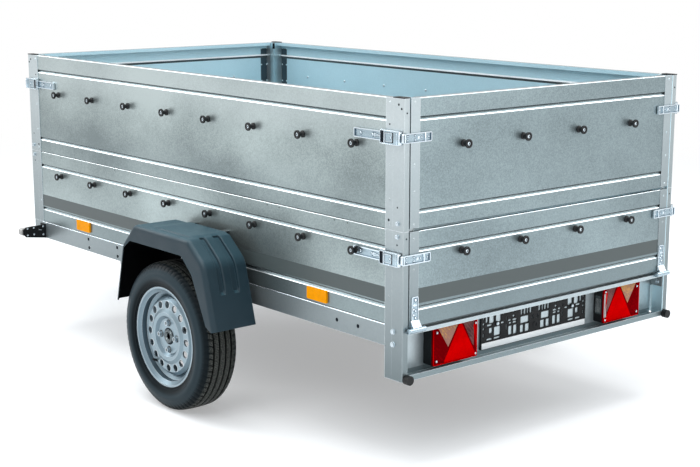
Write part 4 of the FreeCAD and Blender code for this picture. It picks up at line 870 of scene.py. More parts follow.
def addLatch(bm, dark, middle):
    foot = half + 0.0003
    low, high = middle - latch["halfBase"], middle + latch["halfBase"]
    floor = foot + latch["baseRise"] - latch["baseDepth"]
    addTray(bm, (rear + latch["baseStart"], foot, low),
            (rear + latch["baseEnd"], foot + latch["baseRise"], high), toLeft, 0.004, latch["lip"],
            latch["baseDepth"])
    for x in latch["rivets"]:
        addRivet(bm, (rear + x, floor, middle), toLeft, *latch["rivet"])
    # a pressed arrow that runs to the lever
    arrow = rear + latch["arrow"]
    tail, tip, arrowHalf = latch["arrowSize"]
    for reach, lift, index in latch["arrowSteps"]:
        before = set(bm.faces)
        wide, x0, x1 = arrowHalf - reach, arrow + tail - reach * 2, arrow - tip + reach * 2.5
        addPlate(bm, [(x0, floor, middle - wide), (x0, floor, middle + wide), (x1, floor, middle)],
                 (0, lift, 0), 0.001)
        paintNew(bm, before, index)
    # the lever is a folded cap with a window at its front end
    x0, x1 = rear + latch["leverStart"], rear + latch["leverEnd"]
    y0, y1 = foot + latch["leverLow"], foot + latch["leverHigh"]
    z0, z1 = middle - latch["halfLever"], middle + latch["halfLever"]
    wall, window = latch["wall"], rear + latch["window"]
    for edge in (z0, z1 - wall):
        addBox(bm, (x0, y0, edge), (x1, y1, edge + wall), 0.0011)
    addBox(bm, (x0, y0, z0), (x0 + wall * 1.4, y1, z1), 0.0011)
    addBox(bm, (x1 - wall * 0.8, y0, z0), (x1, y1, z1), 0.0009)
    # the cap's top plate takes the painted shade look
    before = set(bm.faces)
    addBox(bm, (x0 + wall, y1 - 0.0058, z0 + 0.001), (window, y1 - 0.0028, z1 - 0.001), 0.0006)
    paintNew(bm, before, 1)
    addBox(bm, (window - 0.0036, y1 - 0.005, z0), (window, y1 - 0.0004, z1), 0.0006)
    # painted shade: a dark box fills the window
    addBox(dark, (window + 0.0002, foot + 0.0046, z0 + wall * 0.8),
           (x1 - wall * 0.8, y1 - 0.0026, z1 - wall * 0.8))
    # the inner plate lies in a recess of the cap, drawn as painted shade by a dark box
    plateStart, plateEnd = rear + latch["innerPlate"][0], rear + latch["innerPlate"][1]
    addBox(dark, (plateStart - 0.0026, y1 - 0.0045, middle - 0.0162),
           (plateEnd + 0.0016, y1 - 0.0024, middle + 0.0148))
    addTray(bm, (plateStart, y1 - 0.0045, middle - 0.0138), (plateEnd, y1 - 0.0004, middle + 0.0138),
            toLeft, 0.003, 0.0018, 0.0012)
    addRivet(bm, (rear + 0.044, y1 - 0.0016, middle), toLeft, *latch["plateRivet"])
    addBox(bm, (x0 + 0.0125, y1 - 0.0032, z0), (x0 + 0.0145, y1 - 0.0012, z1), 0.0006)
    addRod(bm, (x1 - 0.0022, foot + 0.0078, z0 - 0.002), (x1 - 0.0022, foot + 0.0078, z1 + 0.002),
           0.0030, 14)


def makeLatches():
    bright, dark = newMeshes(2)
    addLatch(bright, dark, latch["upper"])
    copyMirrored((bright, dark), 0, midLength)
    addLatch(bright, dark, latch["lower"])
    copyMirrored((bright, dark), 1)
    finishPiece(bright, "latches", pressedLooks, replaced=("latch_bases",))
    finishPiece(dark, "latchShadows", shadowLook)


def makeStraps(name, rider, middle, replaced, atFront=False):
    bm = bmesh.new()
    low, high = middle - latch["halfBase"], middle + latch["halfBase"]
    face = rear - 0.002
    top = face - latch["strapRise"] + 0.002
    floor = top + latch["strapDepth"]
    inner, groove = half - latch["strapEnd"], half - latch["strapGroove"]
    addTray(bm, (top, inner, low), (face, half + latch["strapWrap"] - 0.0005, high), toRear, 0.005,
            latch["lip"], latch["strapDepth"])
    for y, z in latch["strapRivets"]:
        addRivet(bm, (floor, half - y, middle + z), toRear, *latch["strapRivet"])
    addBolt(bm, (floor, half - latch["strapBolt"], middle), toRear, 0.0085, 0.0035)
    addBox(bm, (top - 0.0002, groove - 0.0025, low + 0.001), (floor + 0.001, groove + 0.0025, high - 0.001),
           0.0010)
    addBox(bm, (face - 0.0005, inner + 0.006, low + 0.004), (rear - 0.0004, half - 0.034, high - 0.004))
    # the eye at the corner that the lever's hook takes
    addRod(bm, (rear - 0.0048, half + 0.0005, low), (rear - 0.0048, half + 0.0005, high), 0.0034, 14)
    copyMirrored((bm,), 1)
    if atFront:
        moveToFront(bm)
    finishPiece(bm, name, pressedLooks, rider, (replaced,))


makeLatches()
makeStraps("tailgateUpperStraps", "tailgate_upper", latch["upper"], "tailgate_upper_straps")
makeStraps("tailgateLowerStraps", "tailgate_lower", latch["lower"], "tailgate_lower_straps")
makeStraps("frontGateStraps", "front_gate", latch["upper"], "front_gate_straps", atFront=True)
print("latches ready")


# Lower tailgate hinges

hinge = {
    "axis": Vector((rear - 0.012, 0, base + 0.163)),
    "barrel": 0.0085,
    "outer": 0.0185,        # ends of the moving barrel, from the side face
    "inner": 0.0805,
    "pinOuter": 0.015,
    "pinInner": 0.084,
    "strapOuter": 0.036,
    "strapInner": 0.064,
    "strapTop": 0.104,
    "flare": 0.0175,
    "plate": 0.0028,
    "sunk": 0.0014,
    "pin": 0.0052,
    "collar": 0.0083,
    "rivets": (0.093, 0.064, 0.058, 0.046, 0.036),
    "slot": 0.074,
    "lug": 0.0028,
}


def makeHinges():
    leaf, pins = newMeshes(2)
    x, z = hinge["axis"].x, hinge["axis"].z
    plate, flare = hinge["plate"], hinge["flare"]

    def across(start, end, bm, radius, segments):
        # a rod along the hinge, its ends measured from the side face
        addRod(bm, (x, half - start, z), (x, half - end, z), radius, segments)

    across(hinge["outer"], hinge["inner"], leaf, hinge["barrel"], 28)
    # the barrel takes the painted shade look
    paintNew(leaf, (), 1)
    # pressed strap, and the fold that widens from it over the barrel
    back = rear - 0.0004
    strapMid = half - (hinge["strapOuter"] + hinge["strapInner"]) / 2
    side = (hinge["strapInner"] - hinge["strapOuter"]) / 2
    addTray(leaf, (back - plate, strapMid - side, z + 0.018),
            (back, strapMid + side, z + hinge["strapTop"]), toRear, 0.006, 0.0026, hinge["sunk"])
    floor = back - plate + hinge["sunk"]
    for index, up in enumerate(hinge["rivets"]):
        spot = (floor, strapMid + (0.005 if index % 2 else -0.003), z + up)
        addRivet(leaf, spot, toRear, 0.0040 if index else 0.0052, 0.0024)
    addBox(leaf, (floor - 0.0022, strapMid - 0.008, z + hinge["slot"]),
           (floor, strapMid + 0.008, z + hinge["slot"] + 0.006), 0.0008)
    fold = ((back - 0.0005, 0.030), (back - plate - 0.0008, 0.029), (x - 0.0040, 0.0092),
            (x + 0.003, 0.0060), (back - 0.0005, 0.008))
    addPlate(leaf, [(px, strapMid + flare, z + pz) for px, pz in fold], (0, -2 * flare, 0), 0.0, 0.0004)
    across(hinge["pinOuter"], hinge["pinInner"], pins, hinge["pin"], 16)
    for start in (hinge["pinOuter"] + 0.0002, hinge["pinInner"] - 0.0030):
        end = start + hinge["lug"]
        across(start, end, pins, hinge["collar"], 24)
        addBox(pins, (x, half - end, z - 0.0078), (back, half - start, z - 0.001), 0.0005)
    copyMirrored((leaf, pins), 1)
    finishPiece(leaf, "tailgateHinges", pressedLooks, "tailgate_lower",
                ("tailgate_lower_hinges",))
    # painted shade: the pins and their lugs take the shaded look
    finishPiece(pins, "hingePins", shadeLook, replaced=("hinge_brackets",))


makeHinges()
print("hinges ready")


# Tail lamps

lamp = {
    "centre": 0.413,
    "width": 0.196,
    "low": base + 0.021,
    "high": base + 0.157,
    "face": rear + 0.014,
    "back": rear + 0.021,
    "triangleSide": 0.1455,
    "triangleMiddle": 0.1185,  # from the lamp's outer edge
    # corners from the lamp's outer lower corner, then rise, corner radius and bevel
    "amber": (((0.014, 0.133), (0.1145, 0.133), (0.0655, 0.054)), 0.0012, 0.001, 0.0006),
    "sliver": (((0.177, 0.106), (0.186, 0.116), (0.190, 0.030)), 0.0018, 0.001, 0.0004),
    "innerLens": (((0.1265, 0.132), (0.180, 0.132), (0.180, 0.038), (0.174, 0.044)), 0.0012, 0.002,
                  0.0005),
    "plateEdge": (((0.183, 0.020), (0.195, 0.020), (0.195, 0.106), (0.183, 0.106)), 0.0016, 0.002,
                  0.0004),
    "plateRibs": (4, 0.007, 0.006, 0.0012),   # count, first, pitch and width
    "screws": ((0.016, 0.108), (0.014, 0.014), (0.188, 0.112), (0.188, 0.010)),
    "screwProfile": ((0, 0.0), (0.0038, 0.0), (0.0038, 0.0022), (0.0026, 0.0032), (0.0010, 0.0032),
                     (0.0008, 0.0022), (0, 0.0022)),
    "rim": 0.0035,
    "disc": (0.022, 0.040, 0.019),
}


def makeTailLamps():
    lens, red, amber, dark, screws, clear, smoked = newMeshes(7)
    face, back, wide = lamp["face"], lamp["back"], lamp["width"]
    low, height = lamp["low"], lamp["high"] - lamp["low"]

    def spot(across, up, out=0.0):
        # a place on the lamp's face, from its outer lower corner
        return Vector((face - out, lamp["centre"] + wide / 2 - across, low + up))

    def pane(bm, corners, rise, corner, bevel):
        addPlate(bm, [spot(*point) for point in corners], toRear * rise, corner, bevel)

    outline = [spot(x, z, -0.002) for x, z in ((0, 0), (wide, 0), (wide, height), (0, height))]
    addPlate(lens, outline, (back - face - 0.002, 0, 0), 0.006)
    addPlate(lens, outline, (-0.002, 0, 0), 0.006, 0.0015)
    rise = lamp["triangleSide"] * math.sqrt(3) / 2
    middle, side, foot = lamp["triangleMiddle"], lamp["triangleSide"] / 2, height - 0.005 - rise
    pane(red, ((middle - side, foot), (middle + side, foot), (middle, foot + rise)), 0.0022, 0.003, 0.0010)
    # the lens's bright rim and the round reflector by its outer edge
    rim = lamp["rim"]
    for start, end in (((0, 0), (wide, rim)), ((0, 0), (rim, height)),
                       ((wide - rim, 0), (wide, height))):
        addBox(red, spot(end[0], start[1], 0.0006), spot(start[0], end[1], -0.001), 0.0004)
    across, up, radius = lamp["disc"]
    addSpin(lens, ((0, 0.0012), (radius * 0.6, 0.0011), (radius, 0.0002), (radius, -0.001), (0, -0.001)),
            spot(across, up), toRear, 32)
    # the number plate light of one lamp is a clear edge on the front and a smoked pane beside it
    for bm, name in ((amber, "amber"), (red, "sliver"), (dark, "innerLens"), (clear, "plateEdge")):
        pane(bm, *lamp[name])
    for across, up in lamp["screws"]:
        addSpin(screws, lamp["screwProfile"], spot(across, up), toRear, 14)
    inner = lamp["centre"] - wide / 2
    addBox(smoked, (back + 0.003, inner - 0.0012, low + 0.030),
           (back + 0.030, inner + 0.0015, lamp["high"] - 0.040), 0.0008)
    count, first, pitch, thick = lamp["plateRibs"]
    for step in range(count):
        x = back + first + step * pitch
        addBox(clear, (x, inner - 0.0018, low + 0.036), (x + thick, inner, lamp["high"] - 0.050))
    copyMirrored((lens, red, amber, dark, screws), 1)
    for bm in (clear, smoked):
        bmesh.ops.scale(bm, vec=(1, -1, 1), verts=bm.verts)
    finishPiece(lens, "lampLens", redLensLook, replaced=("tail_lamp_lenses",))
    finishPiece(red, "lampTriangles", redLook)
    finishPiece(amber, "lampIndicators", amberLook)
    finishPiece(dark, "lampInnerLens", maroonLook)
    finishPiece(screws, "lampScrews", boltLook)
    finishPiece(clear, "plateLight", clearLook)
    finishPiece(smoked, "plateLightPane", glassLook)


makeTailLamps()
print("tail lamps ready")


# Plate holder: a moulded lattice with a blank strip under it

holderLow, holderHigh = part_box("plate_holder")
holder = {
    "low": holderLow.z,
    "high": holderLow.z + 0.125,     # its top edge hides behind the beam's lip
    "half": holderHigh.y,
    "front": holderLow.x,
    "back": holderHigh.x,
    "strip": 0.022,
    "face": 0.003,
    "bevel": 0.0006,
    # one half's windows in mm: from the middle, above the foot, width, height
    "windows": ((210, 97, 23, 25), (178, 97, 24, 25), (220, 79, 24, 6), (158, 78, 16, 6),
                (214, 60, 16, 18), (183, 54, 31, 30), (220, 31, 27, 6), (184, 31, 30, 6),
                (138, 112, 10, 8), (106, 110, 10, 8), (105, 92, 11, 7), (124, 80, 15, 6),
                (100, 79, 21, 6), (121, 70, 14, 6), (100, 70, 19, 6), (121, 45, 18, 30),
                (97, 45, 18, 30), (139, 60, 5, 20), (139, 88, 4, 14), (66, 101, 9, 24),
                (51, 101, 10, 24), (37, 101, 8, 24), (22, 101, 10, 24), (51, 71, 41, 23),
                (64, 41, 18, 26), (38, 41, 21, 26), (9, 73, 4, 14), (15, 73, 4, 14),
                (233, 100, 10, 22), (248, 86, 9, 7), (248, 70, 8, 7), (248, 48, 6, 13),
                (248, 106, 6, 14)),
    "corner": 0.0028,
    "screw": (0.186, 0.080),
    "boss": 0.010,
}


def roundedOutline(y, z, width, height, corner):
    # corner points of a window with four steps round each corner
    points = []
    for turn, (sy, sz) in enumerate(((1, 1), (-1, 1), (-1, -1), (1, -1))):
        centre = Vector((y + sy * (width / 2 - corner), z + sz * (height / 2 - corner)))
        for step in range(4):
            angle = math.pi / 2 * (turn + step / 3)
            points.append(centre + Vector((math.cos(angle), math.sin(angle))) * corner)
    return points


def addWindowPlate(bm, outlines, front, back, bevel):
    # a filled flat curve leaves its inner outlines open as windows
    curve = bpy.data.curves.new("windowPlate", "CURVE")
    curve.dimensions = "2D"
    curve.fill_mode = "BOTH"
    curve.bevel_depth = bevel
    curve.bevel_resolution = 1
    curve.offset = -bevel
    curve.extrude = (back - front) / 2 - bevel
    for outline in outlines:
        spline = curve.splines.new("POLY")
        spline.points.add(len(outline) - 1)
        for point, place in zip(spline.points, outline):
            point.co = (place.x, place.y, 0, 1)
        spline.use_cyclic_u = True
    holderObject = bpy.data.objects.new("windowPlate", curve)
    flat = bpy.data.meshes.new_from_object(holderObject)
    bm.from_mesh(flat)
    bpy.data.objects.remove(holderObject)
    bpy.data.curves.remove(curve)
    bpy.data.meshes.remove(flat)
    bmesh.ops.remove_doubles(bm, verts=bm.verts, dist=1e-6)
    stand = Matrix(((0, 0, 1, (front + back) / 2), (1, 0, 0, 0), (0, 1, 0, 0), (0, 0, 0, 1)))
    bmesh.ops.transform(bm, matrix=stand, verts=bm.verts)


def makePlateHolder():
    lattice, strip, screws, backing = newMeshes(4)
    low, high, wide = holder["low"], holder["high"], holder["half"]
    face, back = holder["front"], holder["back"]
    outlines = [roundedOutline(0, (low + high) / 2, 2 * wide, high - low, 0.004)]
    for place, up, width, height in holder["windows"]:
        corner = min(holder["corner"], width * 0.0004, height * 0.0004)
        for side in (-1, 1):
            outlines.append(roundedOutline(side * place / 1000, low + up / 1000, width / 1000,
                                           height / 1000, corner))
    addWindowPlate(lattice, outlines, face, face + holder["face"], holder["bevel"])
    for y0, z0, y1, z1 in ((-wide, low, wide, low + 0.003), (-wide, low, 0.003 - wide, high),
                           (wide - 0.003, low, wide, high)):
        addBox(lattice, (face + 0.001, y0, z0), (back, y1, z1), 0.0006)
    addBox(backing, (face + holder["face"] + 0.0003, 0.004 - wide, low + 0.004),
           (face + holder["face"] + 0.0011, wide - 0.004, high - 0.001))
    for side in (-1, 1):
        spot = Vector((face + 0.001, side * holder["screw"][0], low + holder["screw"][1]))
        addSpin(lattice, ((0.0, 0.0), (0.008, 0.0), (0.008, 0.003), (0.0, 0.003)), spot, toRear, 20)
        addBolt(screws, spot + toRear * 0.003, toRear, 0.009, 0.004)
    boss, hollow = holder["boss"], holder["boss"] - 0.002
    addSpin(lattice, ((hollow, 0.0), (boss, 0.0), (boss, 0.0025), (hollow, 0.0025), (hollow, 0.0)),
            (face + 0.001, 0, low + 0.046), toRear, 24)
    # the blank strip has a shallow ledge over it
    stripTop = low + holder["strip"]
    addBox(strip, (face - 0.0012, -wide + 0.003, low + 0.0015), (face + 0.002, wide - 0.003, stripTop),
           0.0008)
    addBox(lattice, (face - 0.0018, -wide, stripTop + 0.0005), (face + 0.002, wide, stripTop + 0.0028),
           0.0008)
    finishPiece(lattice, "plateLattice", blackLook, replaced=("plate_holder",))
    finishPiece(backing, "plateBacking", beamLook)
    finishPiece(strip, "plateStrip", stripLook)
    finishPiece(screws, "plateScrews", boltLook)


makePlateHolder()
print("plate holder ready")


# Small trim: dark notches of painted shade at the posts' inner corners, brackets in the beam's ends, lamp
# plate rivets

trim = {
    "notchDrop": 0.026,
    "notch": 0.0035,
    "notches": ((0.050, 0.046), (0.046, 0.049)),
    "bracketLow": base + 0.108,
    "bracketHigh": base + 0.146,
    "bracketFrom": rear + 0.004,
    "bracketTo": rear + 0.055,
    "bracketBolt": (rear + 0.024, base + 0.124),
    "lampPlate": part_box("position_lamp_brackets")[0].x,
    "lampRivets": ((0.741, 0.461), (0.712, 0.462), (0.668, 0.463), (0.741, 0.433), (0.711, 0.433),
                   (0.668, 0.428)),
}


def makeTrim():
    notches, brackets, bolts, rivets = newMeshes(4)
    top, notch = body["top"] - 0.002, trim["notch"]
    for across, along in trim["notches"]:
        addBox(notches, (rear + along - 0.001, half - across - notch, top - trim["notchDrop"]),
               (rear + along + notch, half - across + 0.001, top), 0.0008)
    copyMirrored((notches,), 0, midLength)
    copyMirrored((notches,), 1)
    wall = half - 0.025
    addBox(brackets, (trim["bracketFrom"], wall - 0.0025, trim["bracketLow"]),
           (trim["bracketTo"], wall - 0.0004, trim["bracketHigh"]), 0.0006)
    # painted shade: a dark slit between the beam's end and its bracket
    addBox(notches, (rear + 0.0505, wall - 0.0012, base + 0.022),
           (rear + 0.0525, wall - 0.0003, base + 0.145))
    x, z = trim["bracketBolt"]
    addBolt(bolts, (x, wall - 0.0025, z), -toLeft, 0.011, 0.005)
    for y, z in trim["lampRivets"]:
        addDome(rivets, (trim["lampPlate"], y, z), toRear, 0.0042, 0.0022)
    pin = trim["lampPlate"] - 0.0006
    addRod(rivets, (pin, 0.690, 0.452), (pin, 0.676, 0.448), 0.0012, 8)
    copyMirrored((brackets, bolts, rivets), 1)
    finishPiece(notches, "postNotches", shadowLook)
    finishPiece(brackets, "beamEndBrackets", railLook)
    finishPiece(bolts, "beamEndBolts", boltLook)
    finishPiece(rivets, "lampPlateRivets", boltLook)


makeTrim()
print("trim ready")


# Mudguards

guard = {
    "inner": skin + 0.045,
    "width": 0.176,
    "edge": 0.016,
    "wall": 0.004,
    "outline": ((1.328, 0.051), (1.277, 0.262), (1.195, 0.347), (0.849, 0.345), (0.757, 0.271),
                (0.698, 0.051)),
    "radii": (0.030, 0.035, 0.030, 0.080),
    "arch": ((1.3124, 0.0472), (1.2622, 0.254), (1.219, 0.285), (0.887, 0.285), (0.825, 0.228),
             (0.745, 0.062)),
    "archRadii": (0.019, 0.014, 0.025, 0.060),
    "grooves": ((0.143, 0.166), (0.084, 0.113)),   # from the side face
    "grooveStart": 0.858,
    "grooveEnd": 0.168,
    "grooveDepth": 0.0085,
    "grooveSlope": 0.0036,
    "stepFrom": 0.862,
    "stepTo": 1.100,
    "stepAside": 0.188,
    "stepLow": 0.3,
    "stepRise": 0.0042,
    "stepSlope": 0.004,
    "pathSteps": (22, 9),        # along each straight and round each corner
    "columns": (62, 6, 6),       # over the face, round its outer edge and down the wall
    "centre": Vector((1.02, 0.1)),
    "shadeWall": 0.42,           # share of the way to the centre that the shade wall reaches
}


def roundedPath(points, radii, straight, arc):
    # even stations along the straights and round the corners of an open outline
    corners = [Vector((x, z)) for x, z in points]
    stations = []
    begin = corners[0]
    for index, radius in enumerate(radii, 1):
        here = corners[index]
        before = (corners[index - 1] - here).normalized()
        after = (corners[index + 1] - here).normalized()
        halfAngle = before.angle(after) / 2
        reach = radius / math.tan(halfAngle)
        start, end = here + before * reach, here + after * reach
        centre = here + (before + after).normalized() * radius / math.sin(halfAngle)
        stations += [begin.lerp(start, step / straight) for step in range(straight)]
        first, last = start - centre, end - centre
        turn = first.angle_signed(last)
        for step in range(arc):
            stations.append(centre + Matrix.Rotation(-turn * step / arc, 2) @ first)
        begin = end
    stations += [begin.lerp(corners[-1], step / straight) for step in range(straight + 1)]
    return stations


def smoothStep(value):
    value = max(0.0, min(1.0, value))
    return value * value * (3 - 2 * value)


def guardRelief(point, across):
    # how far the moulded face stands out at a place on the outline
    height = 0.0
    for y0, y1 in guard["grooves"]:
        radius = (y1 - y0) / 2
        side = abs(across - (y0 + y1) / 2)
        if point.x < guard["grooveStart"]:
            low = guard["grooveEnd"] + radius - point.y
            reach = radius - (math.hypot(side, low) if low > 0 else side)
            reach = min(reach, guard["grooveStart"] - point.x)
            height -= guard["grooveDepth"] * smoothStep(reach / guard["grooveSlope"])
    if point.y > guard["stepLow"]:
        edge = min(point.x - guard["stepFrom"], guard["stepTo"] - point.x, guard["stepAside"] - across)
        height += guard["stepRise"] * smoothStep(edge / guard["stepSlope"])
    return height


def guardPlace(spot, y):
    return Vector((rear + spot.x, y, base + spot.y))


def makeMudguards():
    line = roundedPath(guard["outline"], guard["radii"], *guard["pathSteps"])
    arch = roundedPath(guard["arch"], guard["archRadii"], *guard["pathSteps"])
    flat, bend, wall = guard["columns"]
    count = flat + bend + wall
    bm = bmesh.new()
    bmesh.ops.create_grid(bm, x_segments=len(line) - 1, y_segments=count, size=0.5)
    edge, outside = guard["edge"], guard["inner"] + guard["width"]
    for vert in bm.verts:
        station = round((vert.co.x + 0.5) * (len(line) - 1))
        column = round((vert.co.y + 0.5) * count)
        here = line[station]
        ahead = line[min(station + 1, len(line) - 1)] - line[max(station - 1, 0)]
        normal = Vector((-ahead.y, ahead.x)).normalized()
        if normal.y < 0 and abs(normal.x) < 0.5 or normal.dot(here - guard["centre"]) < 0:
            normal = -normal
        if column <= flat:
            y = guard["inner"] + (guard["width"] - edge) * column / flat
            spot = here + normal * guardRelief(here, y - half)
        elif column <= flat + bend:
            angle = math.pi / 2 * (column - flat) / bend
            y = outside - edge + edge * math.sin(angle)
            spot = here - normal * edge * (1 - math.cos(angle))
        else:
            y = outside
            spot = (here - normal * edge).lerp(arch[station], (column - flat - bend) / wall)
        vert.co = guardPlace(spot, y)
    bmesh.ops.recalc_face_normals(bm, faces=bm.faces)
    top = max(bm.faces, key=lambda face: face.calc_center_median().z)
    if top.normal.z < 0:
        bmesh.ops.reverse_faces(bm, faces=bm.faces)
    bmesh.ops.solidify(bm, geom=bm.verts[:] + bm.edges[:] + bm.faces[:], thickness=guard["wall"])
    centre = guardPlace(guard["centre"], guard["inner"])
    bm.normal_update()
    # painted shade: faces that look into the arch take the near-black inside look
    for face in bm.faces:
        if face.normal.dot(face.calc_center_median() - centre) < 0:
            face.material_index = 1
    copyMirrored((bm,), 1)
    finishPiece(bm, "guardShells", (guardLook, guardShadeLook),
                replaced=("mudguards",), sharp=40.0)


def makeGuardShadeWalls():
    # painted shade: a near-black wall beside the trailer stands for the shade in the arch behind the tyre
    line = roundedPath(guard["outline"], guard["radii"], 6, 5)
    bm = bmesh.new()
    edges = []
    for share in (0.012, guard["shadeWall"]):
        path = [bm.verts.new(guardPlace(here.lerp(guard["centre"], share), guard["inner"] + 0.0005))
                for here in line]
        edges += [bm.edges.new(pair) for pair in zip(path, path[1:])]
    bmesh.ops.bridge_loops(bm, edges=edges)
    made = bmesh.ops.extrude_face_region(bm, geom=bm.faces[:])["geom"]
    bmesh.ops.translate(bm, vec=(0, 0.003, 0), verts=onlyVerts(made))
    copyMirrored((bm,), 1)
    finishPiece(bm, "guardShadeWalls", guardShadeLook)


makeMudguards()
makeGuardShadeWalls()
print("mudguards ready")


# Wheels

hubCentre = (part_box("rim_left")[0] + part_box("rim_left")[1]) / 2
wheel = {
    "centre": Vector((hubCentre.x, 0, hubCentre.z)),
    "middle": half + 0.133,
    "radius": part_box("tyre_left")[1].z / 2,
    "flat": 0.0575,
    "crown": 0.0028,           # how far the tread falls off to its edges
    "sidewall": ((0.1656, 0.0475), (0.1656, 0.0566), (0.1818, 0.0606), (0.1818, 0.0652),
                 (0.1850, 0.0690), (0.1885, 0.0694), (0.1895, 0.0720), (0.1990, 0.0738),
                 (0.2000, 0.0748), (0.2060, 0.0765), (0.2150, 0.0783), (0.2165, 0.0785),
                 (0.2200, 0.0785), (0.2215, 0.0783)),   # radius, and aside of the middle
    "grooves": (-0.036, -0.0125, 0.0125, 0.036),
    "grooveHalf": 0.0042,
    "grooveDepth": 0.0085,
    "sheen": ((0.196, 0.218), (0.256, 0.238)),   # painted sheen: the paler band of the sidewall
    "steps": 504,
    "pitch": 7,
    "blocksFrom": (0.0216, 0.0400),      # below the crown, and aside
    "blockEdge": 0.066,
    "blockDrops": (0.0042, 0.0026),
    "cuts": 190,
    "cutShare": 0.22,
    "cutSlant": 70.0,
    "cutHalf": 0.050,
    "rubber": (0.0025, 0.0065, 0.009, 1),
    "dust": (0.14, 0.14, 0.135, 1),
    "ribDark": (0.008, 0.010, 0.010, 1),
    "ribLight": (0.14, 0.148, 0.135, 1),
    "sidewallSheen": (0.028, 0.043, 0.052, 1),
    "cutDark": (0.002, 0.002, 0.002, 1),
    "boltCircle": 0.049,
    "washer": ((0, 0.0038), (0.0112, 0.0038), (0.0100, 0.0060), (0, 0.0060)),
    "nut": (0.0060, 0.0155, 0.0088),     # start and end over the hub's face, and radius
    "nutCrown": (0.0068, 0.0012),
    "capBore": 0.0265,
    "face": 0.042,
    "shoulder": ((0.040, 0.0770), (0.0385, 0.0757), (0.030, 0.0738), (0.0215, 0.0700),
                 (0.0205, 0.0688), (0.0140, 0.0650), (0.0085, 0.0600), (0.0050, 0.0550),
                 (0.0028, 0.0490)),    # below the tread's crown, and aside
    "valveAngle": 308,
    "valveCircle": 0.1405,
    "holes": 16,
    "holeCircle": 0.116,
    "holeSeat": 0.0078,        # the disc's surface at the holes, and its slope there
    "holeLean": 0.069,
    "holeRings": ((0.0112, 0.0130, 0.0003), (0.0130, 0.0144, 0.0007)),
    "cap": ((0, 0.0045), (0.0125, 0.0045), (0.0140, 0.0062), (0.0160, 0.0098), (0.0195, 0.0112),
            (0.0235, 0.0098), (0.0262, 0.0062), (0.0270, 0.0002)),
    "capSeat": 0.0305,         # painted shade in the gaps round the cap and the bolts
    "boltSeat": 0.0128,
    "beadGap": ((0.1808, 0.0655), (0.1836, 0.0684), (0.1836, 0.0672), (0.1808, 0.0643), (0.1808, 0.0655)),
}


def tyreProfile():
    radius, groove = wheel["radius"], wheel["grooveHalf"]
    tread = []
    for centre in wheel["grooves"][:1:-1]:
        for share, drop in ((1.0, 0.0), (0.6, 1.0), (-0.6, 1.0), (-1.0, 0.0)):
            place = centre + groove * share
            crown = wheel["crown"] * (place / wheel["flat"]) ** 2
            tread.append((radius - crown - drop * wheel["grooveDepth"], place))
    shoulder = [(radius - drop, place) for drop, place in wheel["shoulder"]]
    outline = list(wheel["sidewall"]) + shoulder + tread + [(radius, 0.0)]
    return outline + [(r, -y) for r, y in outline[-2::-1]]


def makeTyre(name, side, rider, replaced):
    bm = bmesh.new()
    centre = wheel["centre"] + toLeft * wheel["middle"] * side
    radius = wheel["radius"]
    inside = [(0.190, -0.0665), (radius - 0.020, -0.050), (radius - 0.0150, 0.0),
              (radius - 0.020, 0.050), (0.190, 0.0665), (0.1656, 0.0475)]
    addSpin(bm, tyreProfile() + inside, centre, toLeft, wheel["steps"])
    (depth, middle), (drop, outerDrop) = wheel["blocksFrom"], wheel["blockDrops"]
    for vert in bm.verts:
        local = vert.co - centre
        aside = abs(local.y)
        local.y = 0
        if local.length < radius - depth or aside < middle:
            continue
        step = round((math.atan2(local.z, local.x) % fullTurn) / fullTurn * wheel["steps"])
        slant = int(aside * 1000 // 8)
        if (step + slant) % wheel["pitch"] == 0:
            vert.co -= local.normalized() * (drop if aside < wheel["blockEdge"] else outerDrop)
    finishPiece(bm, name, tyreLook, rider, (replaced,), 42.0)


def makeTyreMaterial():
    # fine cuts across the ribs, rubber dulled by a little dust, a painted sheen on the sidewall and painted
    # shade on the grooves' floors
    material, tree, shader = newMaterial("tyreRubber", specular=0.08)
    radius = wheel["radius"]
    moulded = useGroup(tree, mouldGroup, Colour=wheel["rubber"], Dust=wheel["dust"], Dusting=0.03,
                       Size=700.0)
    place = coords(tree)["Object"]
    x, y, z = axes(place)
    x, z = minus(x, wheel["centre"].x), minus(z, wheel["centre"].z)
    across = unsigned(minus(unsigned(y), wheel["middle"]))
    reach = calc("SQRT", plus(calc("POWER", z, 2.0), calc("POWER", x, 2.0)))
    middle = below(across, wheel["cutHalf"])
    cuts = plus(times(calc("ARCTAN2", z, x), wheel["cuts"] / fullTurn),
                times(across, wheel["cutSlant"]))
    cuts = times(below(calc("FRACT", cuts), wheel["cutShare"]), middle, above(reach, radius - 0.005))
    grit = ramp(noise(place, 420.0, 3.0), 0.42, 0.62)
    rib = mixColour(grit, wheel["ribDark"], wheel["ribLight"])
    worn = times(ramp(reach, radius - 0.006, radius - 0.002), ramp(across, 0.066, 0.054))
    (dim, pale), (far, near) = wheel["sheen"]
    sidewallSheen = times(ramp(reach, dim, pale, smooth=True), ramp(reach, far, near, smooth=True))
    wall = mixColour(sidewallSheen, moulded["Colour"], wheel["sidewallSheen"])
    # painted shade: the floors of the tread's grooves are darker
    deep = times(ramp(reach, radius - 0.004, radius - 0.006), middle)
    dark = larger(times(cuts, 0.8), deep)
    colour = mixColour(dark, mixColour(worn, wall, rib), wheel["cutDark"])
    rough = ramp(moulded["Roughness"], 0.4, 0.6, 0.36, 0.5)
    joinShader(shader, {"Base Color": colour, "Roughness": rough},
               minus(times(moulded["Height"], 0.2), cuts), 0.5, 0.0015)
    return material


